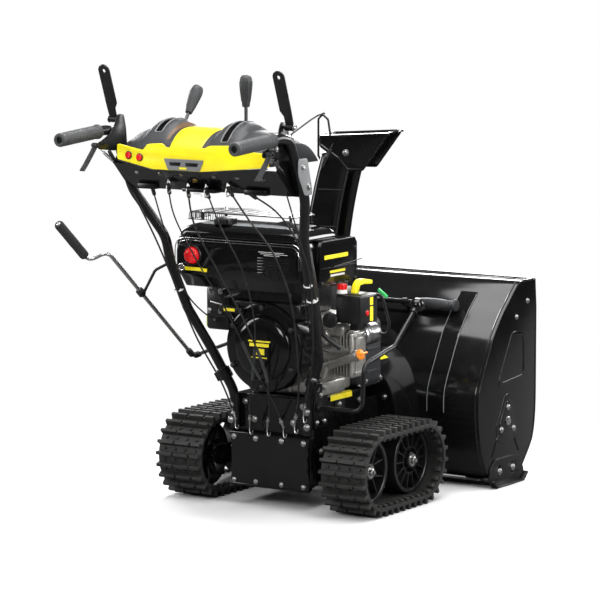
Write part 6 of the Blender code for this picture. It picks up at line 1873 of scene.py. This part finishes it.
# ---------------------------------------------------------------- studio
def floor_look():
    """Pale sheet that takes shadows near the machine and fades to an even white for the camera."""
    made = Finish("pale_floor", (0.8, 0.8, 0.8), 0.6)
    made.vary(3.0, 0.04)
    material = made.done()
    length = made.node("ShaderNodeVectorMath", operation="LENGTH")
    made.link(made.place, length.inputs[0])
    glow = made.node("ShaderNodeEmission")
    mix = made.node("ShaderNodeMixShader")
    seen = made.node("ShaderNodeLightPath").outputs["Is Camera Ray"]
    made.link(made.maths("MULTIPLY", made.span(length.outputs["Value"], 0.7, 1.4), seen), mix.inputs[0])
    made.link(made.shader.outputs[0], mix.inputs[1])
    made.link(glow.outputs[0], mix.inputs[2])
    mirrored = made.node("ShaderNodeBsdfDiffuse")
    mirrored.inputs["Color"].default_value = (0.13, 0.13, 0.13, 1)
    swap = made.node("ShaderNodeMixShader")
    made.link(made.node("ShaderNodeLightPath").outputs["Is Glossy Ray"], swap.inputs[0])
    made.link(mix.outputs[0], swap.inputs[1])
    made.link(mirrored.outputs[0], swap.inputs[2])
    made.link(swap.outputs[0], made.tree.nodes["Material Output"].inputs["Surface"])
    return material


# name, place, target, width, height, watts
SOFTBOXES = (
    ("top_box", (0.3, -0.2, 3.2), (0, 0, 0.4), 3.2, 2.6, 150),
    ("left_box", (-3.0, -2.2, 1.9), (0, 0, 0.5), 0.9, 2.4, 70),
    ("right_box", (3.4, -0.6, 1.8), (0, 0.1, 0.4), 0.7, 2.4, 75),
    ("camera_box", (1.2, -4.2, 2.6), (0, 0, 0.5), 1.6, 1.2, 60),
    ("front_box", (-1.5, 3.6, 2.2), (0, 0.2, 0.5), 1.6, 1.2, 120),
    ("front_right_box", (2.2, 3.4, 1.8), (0, 0.2, 0.5), 1.2, 1.6, 70),
    ("front_left_box", (-3.4, 1.9, 1.5), (0, 0.2, 0.5), 0.9, 2.2, 80),
)


def studio():
    """Pale floor, soft grey surroundings that the camera sees as white, and the soft boxes."""
    bm = bmesh.new()
    bmesh.ops.create_grid(bm, x_segments=2, y_segments=2, size=30.0)
    floor_mesh = mesh_from(bm, "studio_floor")
    floor = placed("studio_floor", floor_mesh)
    floor.location = (0, 0, -0.0006)
    floor_mesh.materials.append(floor_look())

    world = bpy.data.worlds.new("studio_world")
    bpy.context.scene.world = world
    world.use_nodes = True
    tree = world.node_tree
    tree.nodes.clear()
    output = tree.nodes.new("ShaderNodeOutputWorld")
    path = tree.nodes.new("ShaderNodeLightPath")
    seen = tree.nodes.new("ShaderNodeBackground")
    seen.inputs["Color"].default_value = (1, 1, 1, 1)
    seen.inputs["Strength"].default_value = 1.0
    felt = tree.nodes.new("ShaderNodeBackground")
    place = tree.nodes.new("ShaderNodeTexCoord")
    split = tree.nodes.new("ShaderNodeSeparateXYZ")
    ramp = tree.nodes.new("ShaderNodeValToRGB")
    ramp.color_ramp.elements[0].position = 0.45
    ramp.color_ramp.elements[0].color = (0.22, 0.22, 0.22, 1)
    ramp.color_ramp.elements[1].position = 0.95
    ramp.color_ramp.elements[1].color = (0.85, 0.85, 0.85, 1)
    scale = tree.nodes.new("ShaderNodeMapRange")
    scale.inputs["From Min"].default_value = -1.0
    mix = tree.nodes.new("ShaderNodeMixShader")
    tree.links.new(place.outputs["Generated"], split.inputs[0])
    tree.links.new(split.outputs["Z"], scale.inputs["Value"])
    tree.links.new(scale.outputs[0], ramp.inputs[0])
    tree.links.new(ramp.outputs[0], felt.inputs["Color"])
    felt.inputs["Strength"].default_value = 0.16
    tree.links.new(path.outputs["Is Camera Ray"], mix.inputs[0])
    tree.links.new(felt.outputs[0], mix.inputs[1])
    tree.links.new(seen.outputs[0], mix.inputs[2])
    tree.links.new(mix.outputs[0], output.inputs["Surface"])

    for name, at, target, wide, tall, power in SOFTBOXES:
        light = bpy.data.lights.new(name, "AREA")
        light.shape = "RECTANGLE"
        light.size, light.size_y = wide, tall
        light.energy = power
        made = placed(name, light)
        made.location = at
        made.rotation_euler = (Vector(target) - Vector(at)).to_track_quat("-Z", "Y").to_euler()


def camera():
    """Long lens from the rear right, a little above the machine."""
    data = bpy.data.cameras.new("camera")
    data.lens = 188.5
    data.sensor_width = 36.0
    data.clip_end = 100.0
    made = placed("camera", data)
    target, position = Vector((0.136, -0.1835, 0.562)), Vector((4.443, -6.8455, 1.597))
    made.location = position
    made.rotation_euler = (target - position).to_track_quat("-Z", "Y").to_euler()
    bpy.context.scene.camera = made
    bpy.context.scene.view_settings.view_transform = "Standard"


def build():
    """Make every piece, then the studio and the camera."""
    handlebars()
    dash_top()
    dash_details()
    fascia()
    dash_underside()
    gate_lever("deflector_lever", HUMPS[0], -0.372, 0.925, math.radians(35), 0.215, "deflector_lever")
    gate_lever("speed_lever", HUMPS[1], -0.345, 0.925, 0.0, 0.216, "speed_lever")
    crank()
    for make in (cowl, primer_and_key, tank, guard_plate, recoil, casting, muffler_cover, starter,
                 small_engine_parts, case_details, height_lever_look, housing, auger_look, tool_look,
                 chute_look, deflector_look, track_bits, cables, studio, camera):
        make()


build()
bpy.context.view_layer.update()
